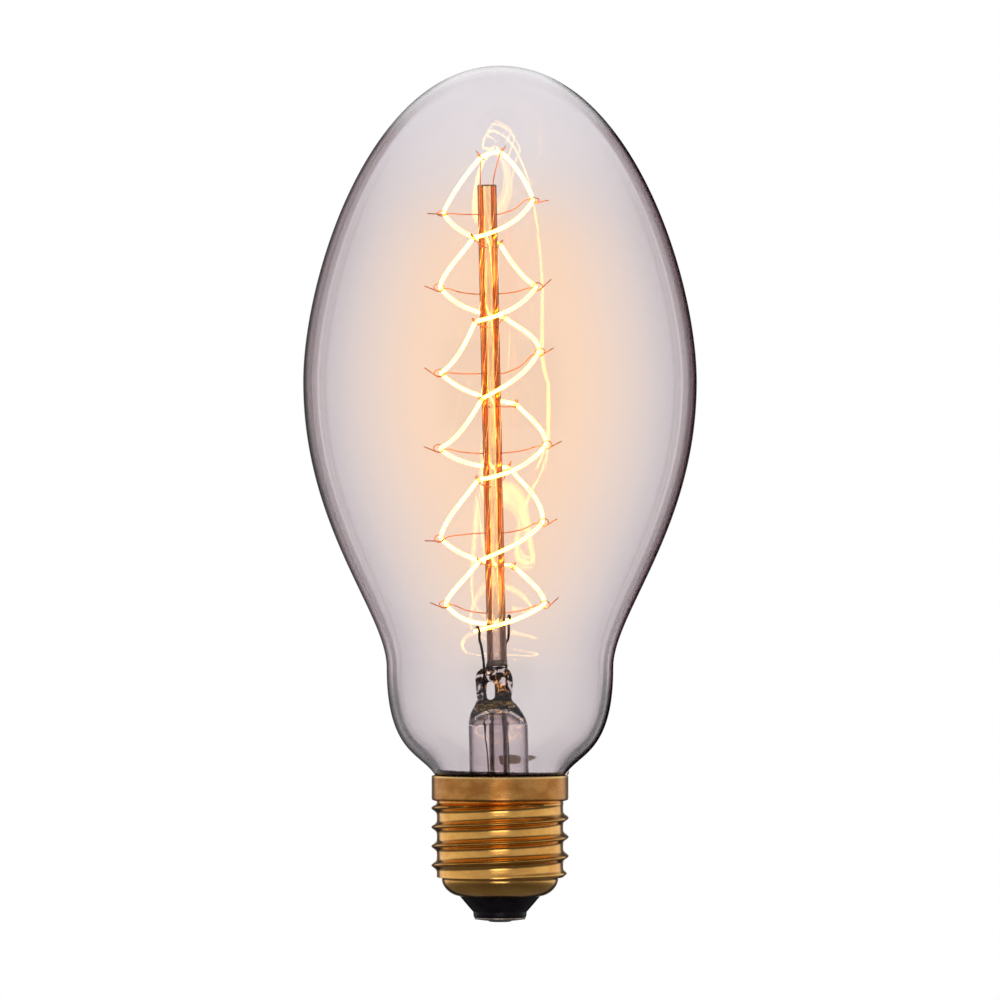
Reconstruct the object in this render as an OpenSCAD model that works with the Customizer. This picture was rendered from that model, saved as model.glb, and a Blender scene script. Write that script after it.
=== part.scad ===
// Clear filament lamp with a spiral filament and an E27 screw cap.
// Millimetres, +Z up, cap down. The origin is the lowest point of the centre contact.

/* [Glass bulb] */
// Height of the glass above the rim of the cap
bulb_height = 135.1; // [125:0.1:150]
// Largest diameter of the glass
bulb_dia = 75; // [66:0.5:90]
// Height of the largest diameter above the rim of the cap
widest_height = 74.9; // [68:0.1:82]
// Diameter of the waist above the stem
waist_dia = 43.2; // [36:0.1:50]
// Height of the waist above the rim of the cap
waist_height = 20.5; // [17:0.1:24]
// Thickness of the glass
glass_wall = 1; // [0.6:0.05:1.2]
// Gap between the glass and the inside of the cap rim
mouth_gap = 0.34; // [0.25:0.01:0.6]
// Depth of the glass seal below the rim of the cap
seal_depth = 6.9; // [5.5:0.1:8.5]

/* [Screw cap] */
// Diameter over the thread crests
thread_crest_dia = 26.2; // [25.8:0.01:26.45]
// Diameter at the thread roots
thread_root_dia = 24.1; // [23.8:0.01:24.4]
// Rise of the thread in one turn
thread_pitch = 3.629; // [3.4:0.001:3.8]
// Height of the threaded stretch
thread_height = 14.8; // [13.5:0.1:16]
// Diameter of the plain collar
collar_dia = 26.05; // [25.9:0.01:26.3]
// Height of the plain collar
collar_height = 4.8; // [4:0.1:6]
// Thickness of the brass sheet
cap_sheet = 0.3; // [0.2:0.01:0.4]
// Height of the rounded bowl under the thread
bowl_height = 3.4; // [2.8:0.1:4]
// Diameter of the opening in the floor of the bowl
floor_dia = 15.7; // [14:0.1:17]
// Room between the glass neck and the thread roots
neck_room = 0.55; // [0.5:0.01:0.8]

/* [Insulator and contact] */
// Height of the insulator below the bowl
insulator_height = 4.1; // [3.4:0.1:5]
// Diameter of the insulator at the contact
insulator_tip_dia = 10.2; // [9.8:0.1:11]
// Height of the contact dome below the insulator
contact_height = 0.85; // [0.7:0.05:1.1]
// Diameter of the contact plate
contact_dia = 9.7; // [8.5:0.1:9.8]
// Diameter of the eyelet through the insulator
eyelet_dia = 2.6; // [2.3:0.1:3.2]
// Bore of the eyelet
eyelet_bore = 1.6; // [1.4:0.1:1.9]
// Diameter of the solder button
solder_dia = 4.6; // [4:0.1:5.6]

/* [Stem] */
// Lean of the stem and the filament cage, top to the left
stem_lean = 1.2; // [0:0.1:2]
// Outer diameter of the flare tube
flare_dia = 11.3; // [10.5:0.1:12.2]
// Height of the flare from the seal to its shoulder
flare_height = 16.5; // [14:0.1:18]
// Height of the press above the shoulder of the flare
press_height = 11.2; // [10.5:0.1:13]
// Width of the pinched glass
press_width = 7.2; // [7:0.1:8.5]
// Thickness of the pinched glass
press_depth = 4.8; // [4.4:0.1:5.6]
// Outer diameter of the exhaust tube
exhaust_dia = 3.6; // [3.2:0.1:3.8]
// Bore of the exhaust tube
exhaust_bore = 1.8; // [1.4:0.1:2]
// Depth of the sealed tip of the exhaust tube below the flare rim
exhaust_tip_depth = 6.5; // [5:0.1:7.5]
// Outer diameter of the centre post
post_dia = 3.7; // [3.4:0.1:4]
// Bore of the centre post
post_bore = 1.2; // [0.8:0.1:1.4]

/* [Filament cage] */
// Distance from the top hooks up to the inside of the glass
crown_room = 15.6; // [12:0.1:20]
// Height of the top hooks above the first side supports
hook_rise = 10.15; // [8:0.05:12]
// Height of the last side supports above the press
cage_foot = 11.9; // [10:0.1:14]
// Height of the post above the first side supports
post_over = 4; // [3:0.1:5]
// Distance of the support rings from the axis of the post
cage_radius = 9.3; // [8.5:0.1:11]
// Outer diameter of the coiled filament
coil_dia = 0.74; // [0.5:0.01:0.8]
// Diameter of the support wires
support_wire = 0.22; // [0.16:0.01:0.26]
// Inner height of the rings that hold the filament
ring_bore = 1.24; // [1.1:0.01:1.4]
// Inner width of the rings, away from the post
ring_width = 1.6; // [1.4:0.01:1.9]
// Sag of the filament between two supports
span_sag = 1; // [0.5:0.1:1.4]
// Outward bow of the filament between two supports
span_bow = 1; // [0.5:0.1:1.3]

/* [Leads] */
// Diameter of the inner leads
inner_lead_dia = 0.5; // [0.4:0.01:0.6]
// Diameter of the seal wires in the press
seal_wire_dia = 0.4; // [0.3:0.01:0.5]
// Diameter of the outer leads
outer_lead_dia = 0.25; // [0.2:0.01:0.3]

/* [Hidden] */
// Clearance between glass or metal pieces that are fused or pressed together
fit = 0.05;
// Clearance inside the faceted cap shell, and round the insulator in its bowl
shell_fit = 0.1;
bowl_fit = 0.15;
// Steps of the cap shell round its axis and along one turn of its thread
cap_columns = 36;
rows_per_turn = 8;

// Heights, from the contact upwards
insulator_z = contact_height;
floor_z = insulator_z + insulator_height;
thread_z = floor_z + bowl_height;
collar_z = thread_z + thread_height;
rim_z = collar_z + collar_height;
seal_z = rim_z - seal_depth;
crown_z = rim_z + bulb_height;
widest_z = rim_z + widest_height;
waist_z = rim_z + waist_height;
flare_top_z = seal_z + flare_height;
press_top_z = flare_top_z + press_height;
hook_z = crown_z - glass_wall - crown_room;
head_z = hook_z - hook_rise;
foot_z = press_top_z + cage_foot;
post_top_z = head_z + post_over;

// Radii that follow from the driving sizes
crest_r = thread_crest_dia / 2;
root_r = thread_root_dia / 2;
crest_rise = crest_r - root_r;
collar_r = collar_dia / 2;
neck_r = root_r - cap_sheet - neck_room;
mouth_r = collar_r - cap_sheet - mouth_gap;
bulb_r = bulb_dia / 2;
waist_r = waist_dia / 2;
flare_r = flare_dia / 2;
post_r = post_dia / 2;
exhaust_r = exhaust_dia / 2;

// Handles of the glass outline: how far each curve holds its direction
crown_handle = 0.66 * bulb_r;
shoulder_handle = 19.8;
belly_handle = 27.9;
waist_handle_up = 10.4;
waist_handle_down = 0.8 * waist_height;
mouth_handle = 5;
mouth_angle = 32;
throat_height = 0.37 * seal_depth;

// Stem glass: wall of the flare, thickness of its rim and height of its trumpet
flare_wall = 0.9;
rim_thickness = 1;
trumpet_height = 6.5;
rim_land = glass_wall + 0.2;

// Press: sideways shift, waist above the shoulder, hollow inside and exhaust port
press_shift = -0.6;
waist_rise = 4.8;
arch_z = flare_top_z + 2.8;
seat_depth = 0.6;
port_x = -1.3;
port_width = 1.4;
port_height = 3.4;
port_top_z = flare_top_z + 8.3;

// Filament supports, counted from the top. Their seats in the post are evenly spaced, and the
// wires are bent by hand: each ring has its own lift, change of reach and direction.
turns = 5;
pitch = (head_z - foot_z) / turns;
left_lift = [-1.2, -0.2, -1.3, -0.5, -2.4, 0.2];
right_lift = [0.9, -0.4, 2.3, -0.2, 0.2, -0.2];
front_lift = [1.4, 0.7, 1.2, 1, 0.8];
back_lift = [0.6, 1.8, 0.2, 3.3, -0.4];
left_reach = [-0.8, 0.1, 0.4, 0.8, 1, 0.3];
right_reach = [-0.5, -0.2, 0, 1, 0, 0];
front_turn = [-107, -107, -101, -108, -108];
back_turn = [76, 74, 60, 71, 67];
side_drop = 1.6;
cross_drop = 0.4;
side_tail = 1.9;
cross_tail = 1.3;
top_tail = 1.5;
wire_sink = 0.9;
wire_stub = 0.5;
ring_pitch = support_wire + 0.1;
ring_half = [(ring_width + support_wire) / 2, (ring_bore + support_wire) / 2];
ring_shift = 0.14;
ring_steps = 12;
// Where the wire enters its ring, how far round it goes, and how far before the ring it bends
ring_start = -130;
ring_sweep = 440;
ring_approach = 0.5;
// How far each side ring is turned to face the front, and how far its tail rises, from the top
ring_face = [0.3, 1.6, 0.8, 1.6, 1.0, 0.8];
left_tail_rise = [-0.2, 0, 1.1, 0.1, -0.1, 0.1];
right_tail_rise = [0, 0.9, -0.3, 0.2, 0.3, 1.1];
wire_sides = 6;

// Top hooks: sideways place, and where their wires enter the post
hook_left_x = -1;
hook_right_x = 2.8;
hook_left_drop = 0.9;
hook_right_drop = 0;
hook_wire_x = (post_r + post_bore / 2) / 2;
hook_sink = 2;

// Leads: places where they leave the press
lead_left = [-2.5, -0.3];
lead_right = [1.75, 1.5];
lead_sides = 8;
lead_end_left = [-3.4, -4.5, foot_z - 4.8];
lead_end_right = [2.5, 4, foot_z - 2.9];
lead_loop_r = (coil_dia + inner_lead_dia) / 2 + fit;
lead_tail = 0.7;
coil_end = 0.9;
weld_z = flare_top_z - 1.5;
seal_wire_top_z = press_top_z - 0.8;
weld_bead = 1.7;

// Way of the outer leads past the sealed tip and through the gap beside the neck
tip_clear_z = seal_z - rim_thickness - exhaust_tip_depth - 1;
side_gap_r = neck_r + (neck_room + outer_lead_dia / 2) / 2 - 0.08;

// Rolled thread: how far it takes to rise at its ends, and where it starts
ramp_low = 1.1;
ramp_high = 0.7;
thread_start = 63;
thread_rows = floor(thread_height / thread_pitch * rows_per_turn);
bowl_top_r = root_r - 0.95;
rim_roll = 0.2;

// Contact: sheet of the plate, its lower face, top of the eyelet and flat of the solder
plate_sheet = 0.35;
plate_z = contact_height - 0.6;
eyelet_top_z = thread_z + 0.8;
solder_plug_z = contact_height + 0.2;
contact_flat = 1.5;

// Curves and vectors

function bezier(a, b, c, d, t) =
    pow(1 - t, 3) * a + 3 * pow(1 - t, 2) * t * b + 3 * (1 - t) * t * t * c + pow(t, 3) * d;

function curve(a, b, c, d, steps) = [for (i = [1:steps]) bezier(a, b, c, d, i / steps)];

function unit(v) = v / norm(v);

function square_off(v, axis) = unit(v - (v * axis) * axis);

function mix(a, b, t) = a + (b - a) * t;

function reversed(list) = [for (i = [len(list) - 1:-1:0]) list[i]];

function tangent(path, i) =
    unit(path[min(i + 1, len(path) - 1)] - path[max(i - 1, 0)]);

// The same outline, moved sideways by a distance to its right
function inset(outline, distance) = [
    for (i = [0:len(outline) - 1])
        let (t = i == 0 ? [1, 0] : tangent(outline, i))
        outline[i] + distance * [t[1], -t[0]]
];

// Side directions carried along a path without twist
function carried(path) = [
    for (
        i = 0, u = square_off(abs(tangent(path, 0)[1]) > 0.8 ? [1, 0, 0] : [0, 1, 0], tangent(path, 0));
        i < len(path);
        i = i + 1, u = square_off(u, tangent(path, min(i, len(path) - 1)))
    ) u
];

// Faces of a tube of rings, closed at both ends
function tube_faces(rings, sides) = concat(
    [[for (k = [0:sides - 1]) k]],
    [[for (k = [sides - 1:-1:0]) (rings - 1) * sides + k]],
    [for (i = [0:rings - 2], k = [0:sides - 1])
        [i * sides + k, (i + 1) * sides + k, (i + 1) * sides + (k + 1) % sides]],
    [for (i = [0:rings - 2], k = [0:sides - 1])
        [i * sides + k, (i + 1) * sides + (k + 1) % sides, i * sides + (k + 1) % sides]]
);

// Round wire along a path, with one radius for each point
module wire(path, radii, sides) {
    sideways = carried(path);
    points = [
        for (i = [0:len(path) - 1])
            let (u = sideways[i], v = cross(tangent(path, i), u))
            for (k = [0:sides - 1])
                path[i] + radii[i] * (cos(360 * k / sides) * u + sin(360 * k / sides) * v)
    ];
    polyhedron(points, tube_faces(len(path), sides), convexity = 4);
}

module even_wire(path, dia, sides) {
    wire(path, [for (p = path) dia / 2], sides);
}

// The lean of the stem, as a move of solids and as a move of points

module leaned() {
    translate([0, 0, seal_z]) rotate([0, -stem_lean, 0]) translate([0, 0, -seal_z]) children();
}

function leaned_point(p) = [
    p[0] * cos(stem_lean) - (p[2] - seal_z) * sin(stem_lean),
    p[1],
    seal_z + p[0] * sin(stem_lean) + (p[2] - seal_z) * cos(stem_lean)
];

// Glass outlines, as [radius, height]

glass_outline = concat(
    [[0, crown_z]],
    curve([0, crown_z], [crown_handle, crown_z],
        [bulb_r, widest_z + shoulder_handle], [bulb_r, widest_z], 16),
    curve([bulb_r, widest_z], [bulb_r, widest_z - belly_handle],
        [waist_r, waist_z + waist_handle_up], [waist_r, waist_z], 14),
    curve([waist_r, waist_z], [waist_r, waist_z - waist_handle_down],
        [mouth_r, rim_z] + mouth_handle * [sin(mouth_angle), cos(mouth_angle)], [mouth_r, rim_z], 12),
    curve([mouth_r, rim_z], [mouth_r, rim_z] - 0.8 * [sin(mouth_angle), cos(mouth_angle)],
        [neck_r, rim_z - throat_height + 1], [neck_r, rim_z - throat_height], 4)
);

// Height of the glass surface's lower end, past the leaning cut of the seal
seal_cut_z = seal_z - neck_r * sin(stem_lean) - 0.5;

module envelope() {
    inner = inset(glass_outline, glass_wall);
    color("lavender", 0.35)
        difference() {
            rotate_extrude($fn = 96)
                polygon(concat(
                    glass_outline,
                    [[neck_r, seal_cut_z], [neck_r - glass_wall, seal_cut_z]],
                    reversed(inner)
                ));
            leaned()
                translate([0, 0, seal_z - 5]) cylinder(r = bulb_r, h = 5, $fn = 64);
        }
}

// Flare tube: a flat land that is sealed to the neck, a trumpet and a straight tube
module stem_flare() {
    land_r = neck_r - rim_land;
    bore_r = flare_r - flare_wall;
    low_z = seal_z - rim_thickness;
    tube_z = seal_z + trumpet_height;
    outside = curve([land_r, seal_z], [flare_r + 1.5, seal_z],
        [flare_r, seal_z + 2.5], [flare_r, tube_z], 8);
    inside = curve([land_r, low_z], [flare_r + 0.6, low_z],
        [bore_r, seal_z + 1.8], [bore_r, tube_z], 8);
    color("lavender", 0.5)
        leaned()
            rotate_extrude($fn = 64)
                polygon(concat(
                    [[land_r, low_z], [neck_r, low_z], [neck_r, seal_z], [land_r, seal_z]],
                    outside,
                    [[flare_r, flare_top_z], [bore_r, flare_top_z]],
                    reversed(inside)
                ));
}

// One side of the press outline, from the flare's shoulder to the rounded top corner
function press_side(half, corner) = concat(
    [[flare_r, flare_top_z]],
    curve([flare_r, flare_top_z], [flare_r, flare_top_z + 1.4], [half + 0.7, flare_top_z + waist_rise - 1.2],
        [half - 0.3, flare_top_z + waist_rise], 6),
    [[half, press_top_z - corner - 1.2]],
    [for (a = [0:18:90]) [half - corner + corner * cos(a), press_top_z - corner + corner * sin(a)]]
);

module press_slab(half, corner, shift, depth) {
    right = [for (p = press_side(half, corner))
        [p[0] + shift * min(1, (p[1] - flare_top_z) / waist_rise), p[1]]];
    left = [for (p = reversed(press_side(half, corner)))
        [-p[0] + shift * min(1, (p[1] - flare_top_z) / waist_rise), p[1]]];
    rotate([90, 0, 0])
        translate([0, 0, -depth]) linear_extrude(2 * depth) polygon(concat(right, left));
}

module stem_press() {
    seat_r = exhaust_r + fit;
    color("lightsteelblue", 0.6)
        leaned()
            difference() {
                intersection() {
                    translate([0, 0, flare_top_z]) cylinder(r = flare_r, h = press_height, $fn = 64);
                    press_slab(press_width / 2, 2.4, press_shift, flare_r + 1);
                    rotate([0, 0, 90]) press_slab(press_depth / 2, 1.4, 0, flare_r + 1);
                }
                // Arch of the hollow flare
                rotate_extrude($fn = 64)
                    polygon(concat(
                        [[0, flare_top_z - 1], [flare_r - flare_wall, flare_top_z - 1],
                            [flare_r - flare_wall, flare_top_z]],
                        curve([flare_r - flare_wall, flare_top_z],
                            [flare_r - flare_wall - 0.2, arch_z - 0.6], [2.6, arch_z], [0, arch_z], 8)
                    ));
                // Seat and bore of the exhaust tube, and its port through the side of the press
                translate([0, 0, flare_top_z])
                    cylinder(r = seat_r, h = arch_z - flare_top_z + seat_depth, $fn = 32);
                translate([0, 0, flare_top_z])
                    cylinder(d = exhaust_bore, h = port_top_z - flare_top_z, $fn = 32);
                translate([port_x, 0, port_top_z - port_width / 2]) port_round();
                translate([port_x, 0, port_top_z - port_height + port_width / 2]) port_round();
                translate([port_x - port_width / 2, -press_depth, port_top_z - port_height + port_width / 2])
                    cube([port_width, 2 * press_depth, port_height - port_width]);
                // Channels of the seal wires
                for (place = [lead_left, lead_right])
                    translate([place[0], place[1], flare_top_z])
                        cylinder(d = max(inner_lead_dia, seal_wire_dia) + 2 * fit,
                            h = press_height + 1, $fn = 24);
            }
}

module port_round() {
    rotate([90, 0, 0])
        translate([0, 0, -press_depth]) cylinder(d = port_width, h = 2 * press_depth, $fn = 24);
}

module exhaust_tube() {
    top_z = arch_z + seat_depth;
    tip_z = seal_z - rim_thickness - exhaust_tip_depth;
    bore_r = exhaust_bore / 2;
    color("lavender", 0.5)
        leaned()
            rotate_extrude($fn = 32)
                polygon(concat(
                    [[bore_r, top_z], [exhaust_r, top_z]],
                    [[exhaust_r, tip_z + 3.2]],
                    curve([exhaust_r, tip_z + 3.2], [exhaust_r, tip_z + 1], [0.8, tip_z], [0, tip_z], 6),
                    [[0, tip_z + 1.6]],
                    curve([0, tip_z + 1.6], [0.5, tip_z + 1.6],
                        [bore_r, tip_z + 2.4], [bore_r, tip_z + 4], 4)
                ));
}

// Filament cage

left_rings = [for (i = [0:turns])
    [-cage_radius - left_reach[i], 0, head_z - i * pitch + left_lift[i]]];
right_rings = [for (i = [0:turns])
    [cage_radius + right_reach[i], 0, head_z - i * pitch + right_lift[i]]];
front_rings = [for (i = [0:turns - 1])
    [cage_radius * cos(front_turn[i]), cage_radius * sin(front_turn[i]),
        head_z - (i + 0.5) * pitch + front_lift[i]]];
back_rings = [for (i = [0:turns - 1])
    [cage_radius * cos(back_turn[i]), cage_radius * sin(back_turn[i]),
        head_z - (i + 0.5) * pitch + back_lift[i]]];
hook_left = [hook_left_x, 0, hook_z - hook_left_drop];
hook_right = [hook_right_x, 0, hook_z - hook_right_drop];

// Every place where the filament is held, from the left lead up over the hooks to the right lead.
// Each strand passes left, back, right and front in turn on its way down.
held = concat(
    [lead_end_left],
    [for (i = [turns:-1:0]) each
        i % 2 == 1
            ? [right_rings[i], back_rings[i - 1]]
            : i == 0 ? [left_rings[0]] : [left_rings[i], front_rings[i - 1]]],
    [hook_left, hook_right],
    [for (i = [0:turns]) each
        i % 2 == 0
            ? (i == turns ? [right_rings[i]] : [right_rings[i], front_rings[i]])
            : (i == turns ? [left_rings[i]] : [left_rings[i], back_rings[i]])],
    [lead_end_right]
);
over_top = 2 * turns + 2;
span_steps = 5;

// How each span hangs, as shares of the sag and the bow, in the order of the held places
span_shape = [
    [0.6, 0.5], [0.3, 1.4], [1.3, 0.8], [0.5, 1.2], [1.4, 0.8], [0.3, 1.4], [1.1, 0.8], [1.6, 0],
    [1.3, 0.8], [1.3, 0.2], [1.3, 0.8], [0, 0], [0, 0], [0, 0], [1.4, 0.8], [0.5, 1.1], [1.3, 0.8],
    [0, 1.8], [1, 0.8], [1.5, 0], [1.2, 0.8], [0, 1.7], [0.7, 0.8], [0.6, 1], [2, 0.8]
];
// Arch of the three spans at the top, sideways and upwards
top_arch = [[-0.3, 0.35], [0, 0.3], [0.45, 0.6]];

// Point of a span between two held places, sagging and bowed away from the post
function span_point(i, t) =
    let (
        a = held[i],
        b = held[i + 1],
        at_top = i - over_top + 1,
        p = mix(a, b, t),
        out = norm([p[0], p[1]]) > 0.5 ? unit([p[0], p[1], 0]) : [0, 0, 0],
        arch = 4 * t * (1 - t)
    )
    at_top >= 0 && at_top <= 2
        ? p + arch * [top_arch[at_top][0], 0, top_arch[at_top][1]]
        : p + arch * (span_shape[i][1] * span_bow * out - [0, 0, span_shape[i][0] * span_sag]);

filament_path = concat(
    [held[0] + coil_end * unit(held[0] - held[1])],
    [for (i = [0:len(held) - 2], s = [0:span_steps - 1]) span_point(i, s / span_steps)],
    [held[len(held) - 1]],
    [held[len(held) - 1] + coil_end * unit(held[len(held) - 1] - held[len(held) - 2])]
);

module filament() {
    color("orange") leaned() even_wire(filament_path, coil_dia, wire_sides);
}

// Direction of the filament where it passes held place i
function held_direction(i) = tangent(filament_path, 1 + i * span_steps);

// Heights of the supports on the post
function side_level(i) = head_z - i * pitch - side_drop;

function cross_level(i) = head_z - (i + 0.5) * pitch - cross_drop;

function index_of(p) = [for (i = [0:len(held) - 1]) if (held[i] == p) i][0];

// Wire that comes from a point, turns round the filament at c and runs on past it.
// It passes under the filament, and steps aside by shift in a full turn to clear itself.
// Half is the half width and half height of the turn. Tail is the wire's end, outwards and
// upwards from c. An approach above 0 brings the wire in at the height of c.
function looped(from, c, dir, half, start, sweep, shift, tail, approach) =
    let (
        u = square_off(c - from, dir),
        w = cross(dir, u),
        v = w[2] < -0.01 ? -w : w,
        aside = shift * sweep / 360 * dir,
        steps = ceil(sweep / 360 * ring_steps)
    )
    concat(
        approach > 0 ? [c - (half[0] + approach) * u - aside / 2] : [],
        [for (k = [0:steps])
            let (a = start + sweep * k / steps)
            c + half[0] * cos(a) * u + half[1] * sin(a) * v + (k / steps - 0.5) * aside],
        [c + tail[0] * u + tail[1] * v + aside / 2]
    );

// Support wire from its seat in the post to its ring round the filament
module support(ring, height, tail, rise, face) {
    out = unit([ring[0], ring[1], 0]);
    dir = held_direction(index_of(ring));
    axis = unit(dir + [0, face * sign(dir[1]), 0]);
    level = [0, 0, height];
    seat = out * (post_r - wire_sink) + level;
    leave = out * (post_r + wire_stub) + level;
    loop = looped(leave, ring + ring_shift * out, axis, ring_half, ring_start, ring_sweep,
        ring_pitch, [ring_half[0] + tail, rise], ring_approach);
    bend = mix(leave, loop[0], 0.55) - [0, 0, 0.2 * (loop[0][2] - leave[2])];
    color("peru") leaned() even_wire(concat([seat, leave, bend], loop), support_wire, wire_sides);
}

module top_hook(ring, side) {
    seat = [side * hook_wire_x, 0, post_top_z - hook_sink];
    leave = [side * hook_wire_x, 0, post_top_z + wire_stub];
    loop = looped(leave, ring, held_direction(index_of(ring)), [ring_half[1], ring_half[1]], -90, 360,
        ring_pitch, [top_tail, -ring_half[1]], 0);
    color("peru") leaned() even_wire(concat([seat, leave], loop), support_wire, wire_sides);
}

// Seats of the support wires, drilled into the post
module wire_seat(ring, height) {
    translate([0, 0, height])
        rotate([0, 90, atan2(ring[1], ring[0])])
            translate([0, 0, post_r - wire_sink - fit])
                cylinder(d = support_wire + 2 * fit, h = wire_sink + 1, $fn = 16);
}

module centre_post() {
    color("sandybrown", 0.6)
        leaned()
            difference() {
                translate([0, 0, press_top_z]) cylinder(r = post_r, h = post_top_z - press_top_z, $fn = 48);
                translate([0, 0, press_top_z + 1.5])
                    cylinder(d = post_bore, h = post_top_z - press_top_z, $fn = 24);
                for (i = [0:turns], ring = [left_rings[i], right_rings[i]])
                    wire_seat(ring, side_level(i));
                for (i = [0:turns - 1], ring = [front_rings[i], back_rings[i]])
                    wire_seat(ring, cross_level(i));
                for (side = [-1, 1])
                    translate([side * hook_wire_x, 0, post_top_z - hook_sink - fit])
                        cylinder(d = support_wire + 2 * fit, h = hook_sink + 1, $fn = 16);
            }
}

// Leads

module inner_lead(foot, bends, end, dir) {
    start = [foot[0], foot[1], seal_wire_top_z + fit];
    leave = [foot[0], foot[1], press_top_z + 0.6];
    last = bends[len(bends) - 1];
    loop = looped(last, end, dir, [lead_loop_r, lead_loop_r], -90, 180, 0, [-lead_tail, lead_loop_r], 0);
    color("dimgray") leaned() even_wire(concat([start, leave], bends, loop), inner_lead_dia, lead_sides);
}

module inner_lead_left() {
    inner_lead(lead_left,
        [[-2.9, -2.4, press_top_z + 4], [-3.2, -3.9, lead_end_left[2] - 1.8]],
        lead_end_left, held_direction(0));
}

module inner_lead_right() {
    inner_lead(lead_right,
        [[1.75, 1.8, press_top_z + 4.4], [2.2, 2.2, press_top_z + 5.2], [2.4, 3.3, lead_end_right[2] - 1.8]],
        lead_end_right, held_direction(len(held) - 1));
}

module seal_wire(foot) {
    color("maroon")
        leaned()
            translate([foot[0], foot[1], weld_z])
                cylinder(d = seal_wire_dia, h = seal_wire_top_z - weld_z, $fn = 24);
}

module seal_wire_left() {
    seal_wire(lead_left);
}

module seal_wire_right() {
    seal_wire(lead_right);
}

// Outer lead: welded to its seal wire with a bead, then thin down to the cap
module outer_lead(foot, inside, below) {
    thin = outer_lead_dia / 2;
    bead = thin * weld_bead;
    head = [for (z = [0, 0.4, 0.8]) leaned_point([foot[0], foot[1], weld_z - fit - z])];
    path = concat(head, [for (p = inside) leaned_point(p)], below);
    radii = [for (i = [0:len(path) - 1]) i == 0 || i == 1 ? bead : thin];
    color("peru") wire(path, radii, lead_sides);
}

module outer_lead_centre() {
    outer_lead(lead_left,
        [[-2.3, -0.7, weld_z - 2.5], [-2, -1.4, seal_z + 9], [-2.2, -1.2, seal_z - 4]],
        [[-1.2, -0.5, tip_clear_z], [0, 0, eyelet_top_z + 0.6], [0, 0, eyelet_top_z - 1],
            [0, 0, solder_plug_z + fit]]);
}

module outer_lead_side() {
    outer_lead(lead_right,
        [[1.9, 1.5, weld_z - 2.5], [2, 1.6, seal_z + 6], [2.4, 1.4, seal_z]],
        [[4, 1, seal_z - 3.4], [neck_r - 2, 0.2, seal_z - 3.6], [side_gap_r, 0, seal_z - 2.4],
            [side_gap_r, 0, rim_z - throat_height - 0.4], [(neck_r + mouth_r) / 2 + 0.35, 0, rim_z - 1.1],
            [mouth_r - 0.1, 0, rim_z - 0.55]]);
}

// Screw cap

// How far the thread stands out of its root at a height and a direction
function thread_rise(z, a) =
    let (
        low = min(1, max(0, (z - thread_z - 0.2) / ramp_low)),
        high = min(1, max(0, (collar_z - 0.25 - z) / ramp_high)),
        wave = (1 + cos(360 * (z - thread_z) / thread_pitch - a - thread_start)) / 2
    )
    crest_rise * low * high * wave * wave;

bowl_outline = curve([bowl_top_r, thread_z - 0.1], [bowl_top_r, thread_z - 1.7],
    [floor_dia / 2 + 1.6, floor_z + 0.25], [floor_dia / 2, floor_z], 6);

// Outline of the cap shell from the rim down, with a mark of 1 where the thread is rolled in
cap_outline = concat(
    [[collar_r - rim_roll, rim_z, 0], [collar_r, rim_z - 2 * rim_roll, 0], [collar_r, collar_z + 0.35, 0],
        [collar_r - 0.3, collar_z, 0]],
    [for (i = [0:thread_rows]) [root_r, collar_z - 0.25 - i * (thread_height - 0.45) / thread_rows, 1]],
    [[bowl_top_r, thread_z - 0.1, 0]],
    [for (p = bowl_outline) [p[0], p[1], 0]]
);
cap_lining = [for (i = [0:len(cap_outline) - 1])
    let (t = tangent([for (p = cap_outline) [p[0], p[1]]], i), p = cap_outline[i])
    p[1] > thread_z
        ? [p[0] - cap_sheet, p[1], p[2]]
        : [p[0] + cap_sheet * t[1], p[1] - cap_sheet * t[0], 0]
];

module cap_shell() {
    loop = concat(cap_outline, reversed(cap_lining));
    rows = len(loop);
    points = [for (c = [0:cap_columns - 1], p = loop)
        let (a = 360 * c / cap_columns, r = p[0] + p[2] * thread_rise(p[1], a))
        [r * cos(a), r * sin(a), p[1]]];
    at = function (c, i) (c % cap_columns) * rows + i % rows;
    faces = [for (c = [0:cap_columns - 1], i = [0:rows - 1]) each
        [[at(c, i), at(c + 1, i), at(c + 1, i + 1)], [at(c, i), at(c + 1, i + 1), at(c, i + 1)]]];
    color("darkgoldenrod") polyhedron(points, faces, convexity = 6);
}

// Cement between the glass neck and the collar, with a slot for the side lead
module cap_cement() {
    low_z = collar_z + 0.6;
    high_z = rim_z - 0.9;
    outer_r = collar_r - cap_sheet - shell_fit;
    throat = [for (p = glass_outline) if (p[1] < high_z) p + [fit, 0]];
    edge_r = lookup(-high_z, [for (p = glass_outline) [-p[1], p[0]]]) + fit;
    color("tan")
        difference() {
            rotate_extrude($fn = 96)
                polygon(concat([[outer_r, low_z], [outer_r, high_z], [edge_r, high_z]],
                    throat, [[neck_r + fit, low_z]]));
            translate([0, -0.4, low_z - 1]) cube([collar_r, 0.8, collar_height]);
        }
}

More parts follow.
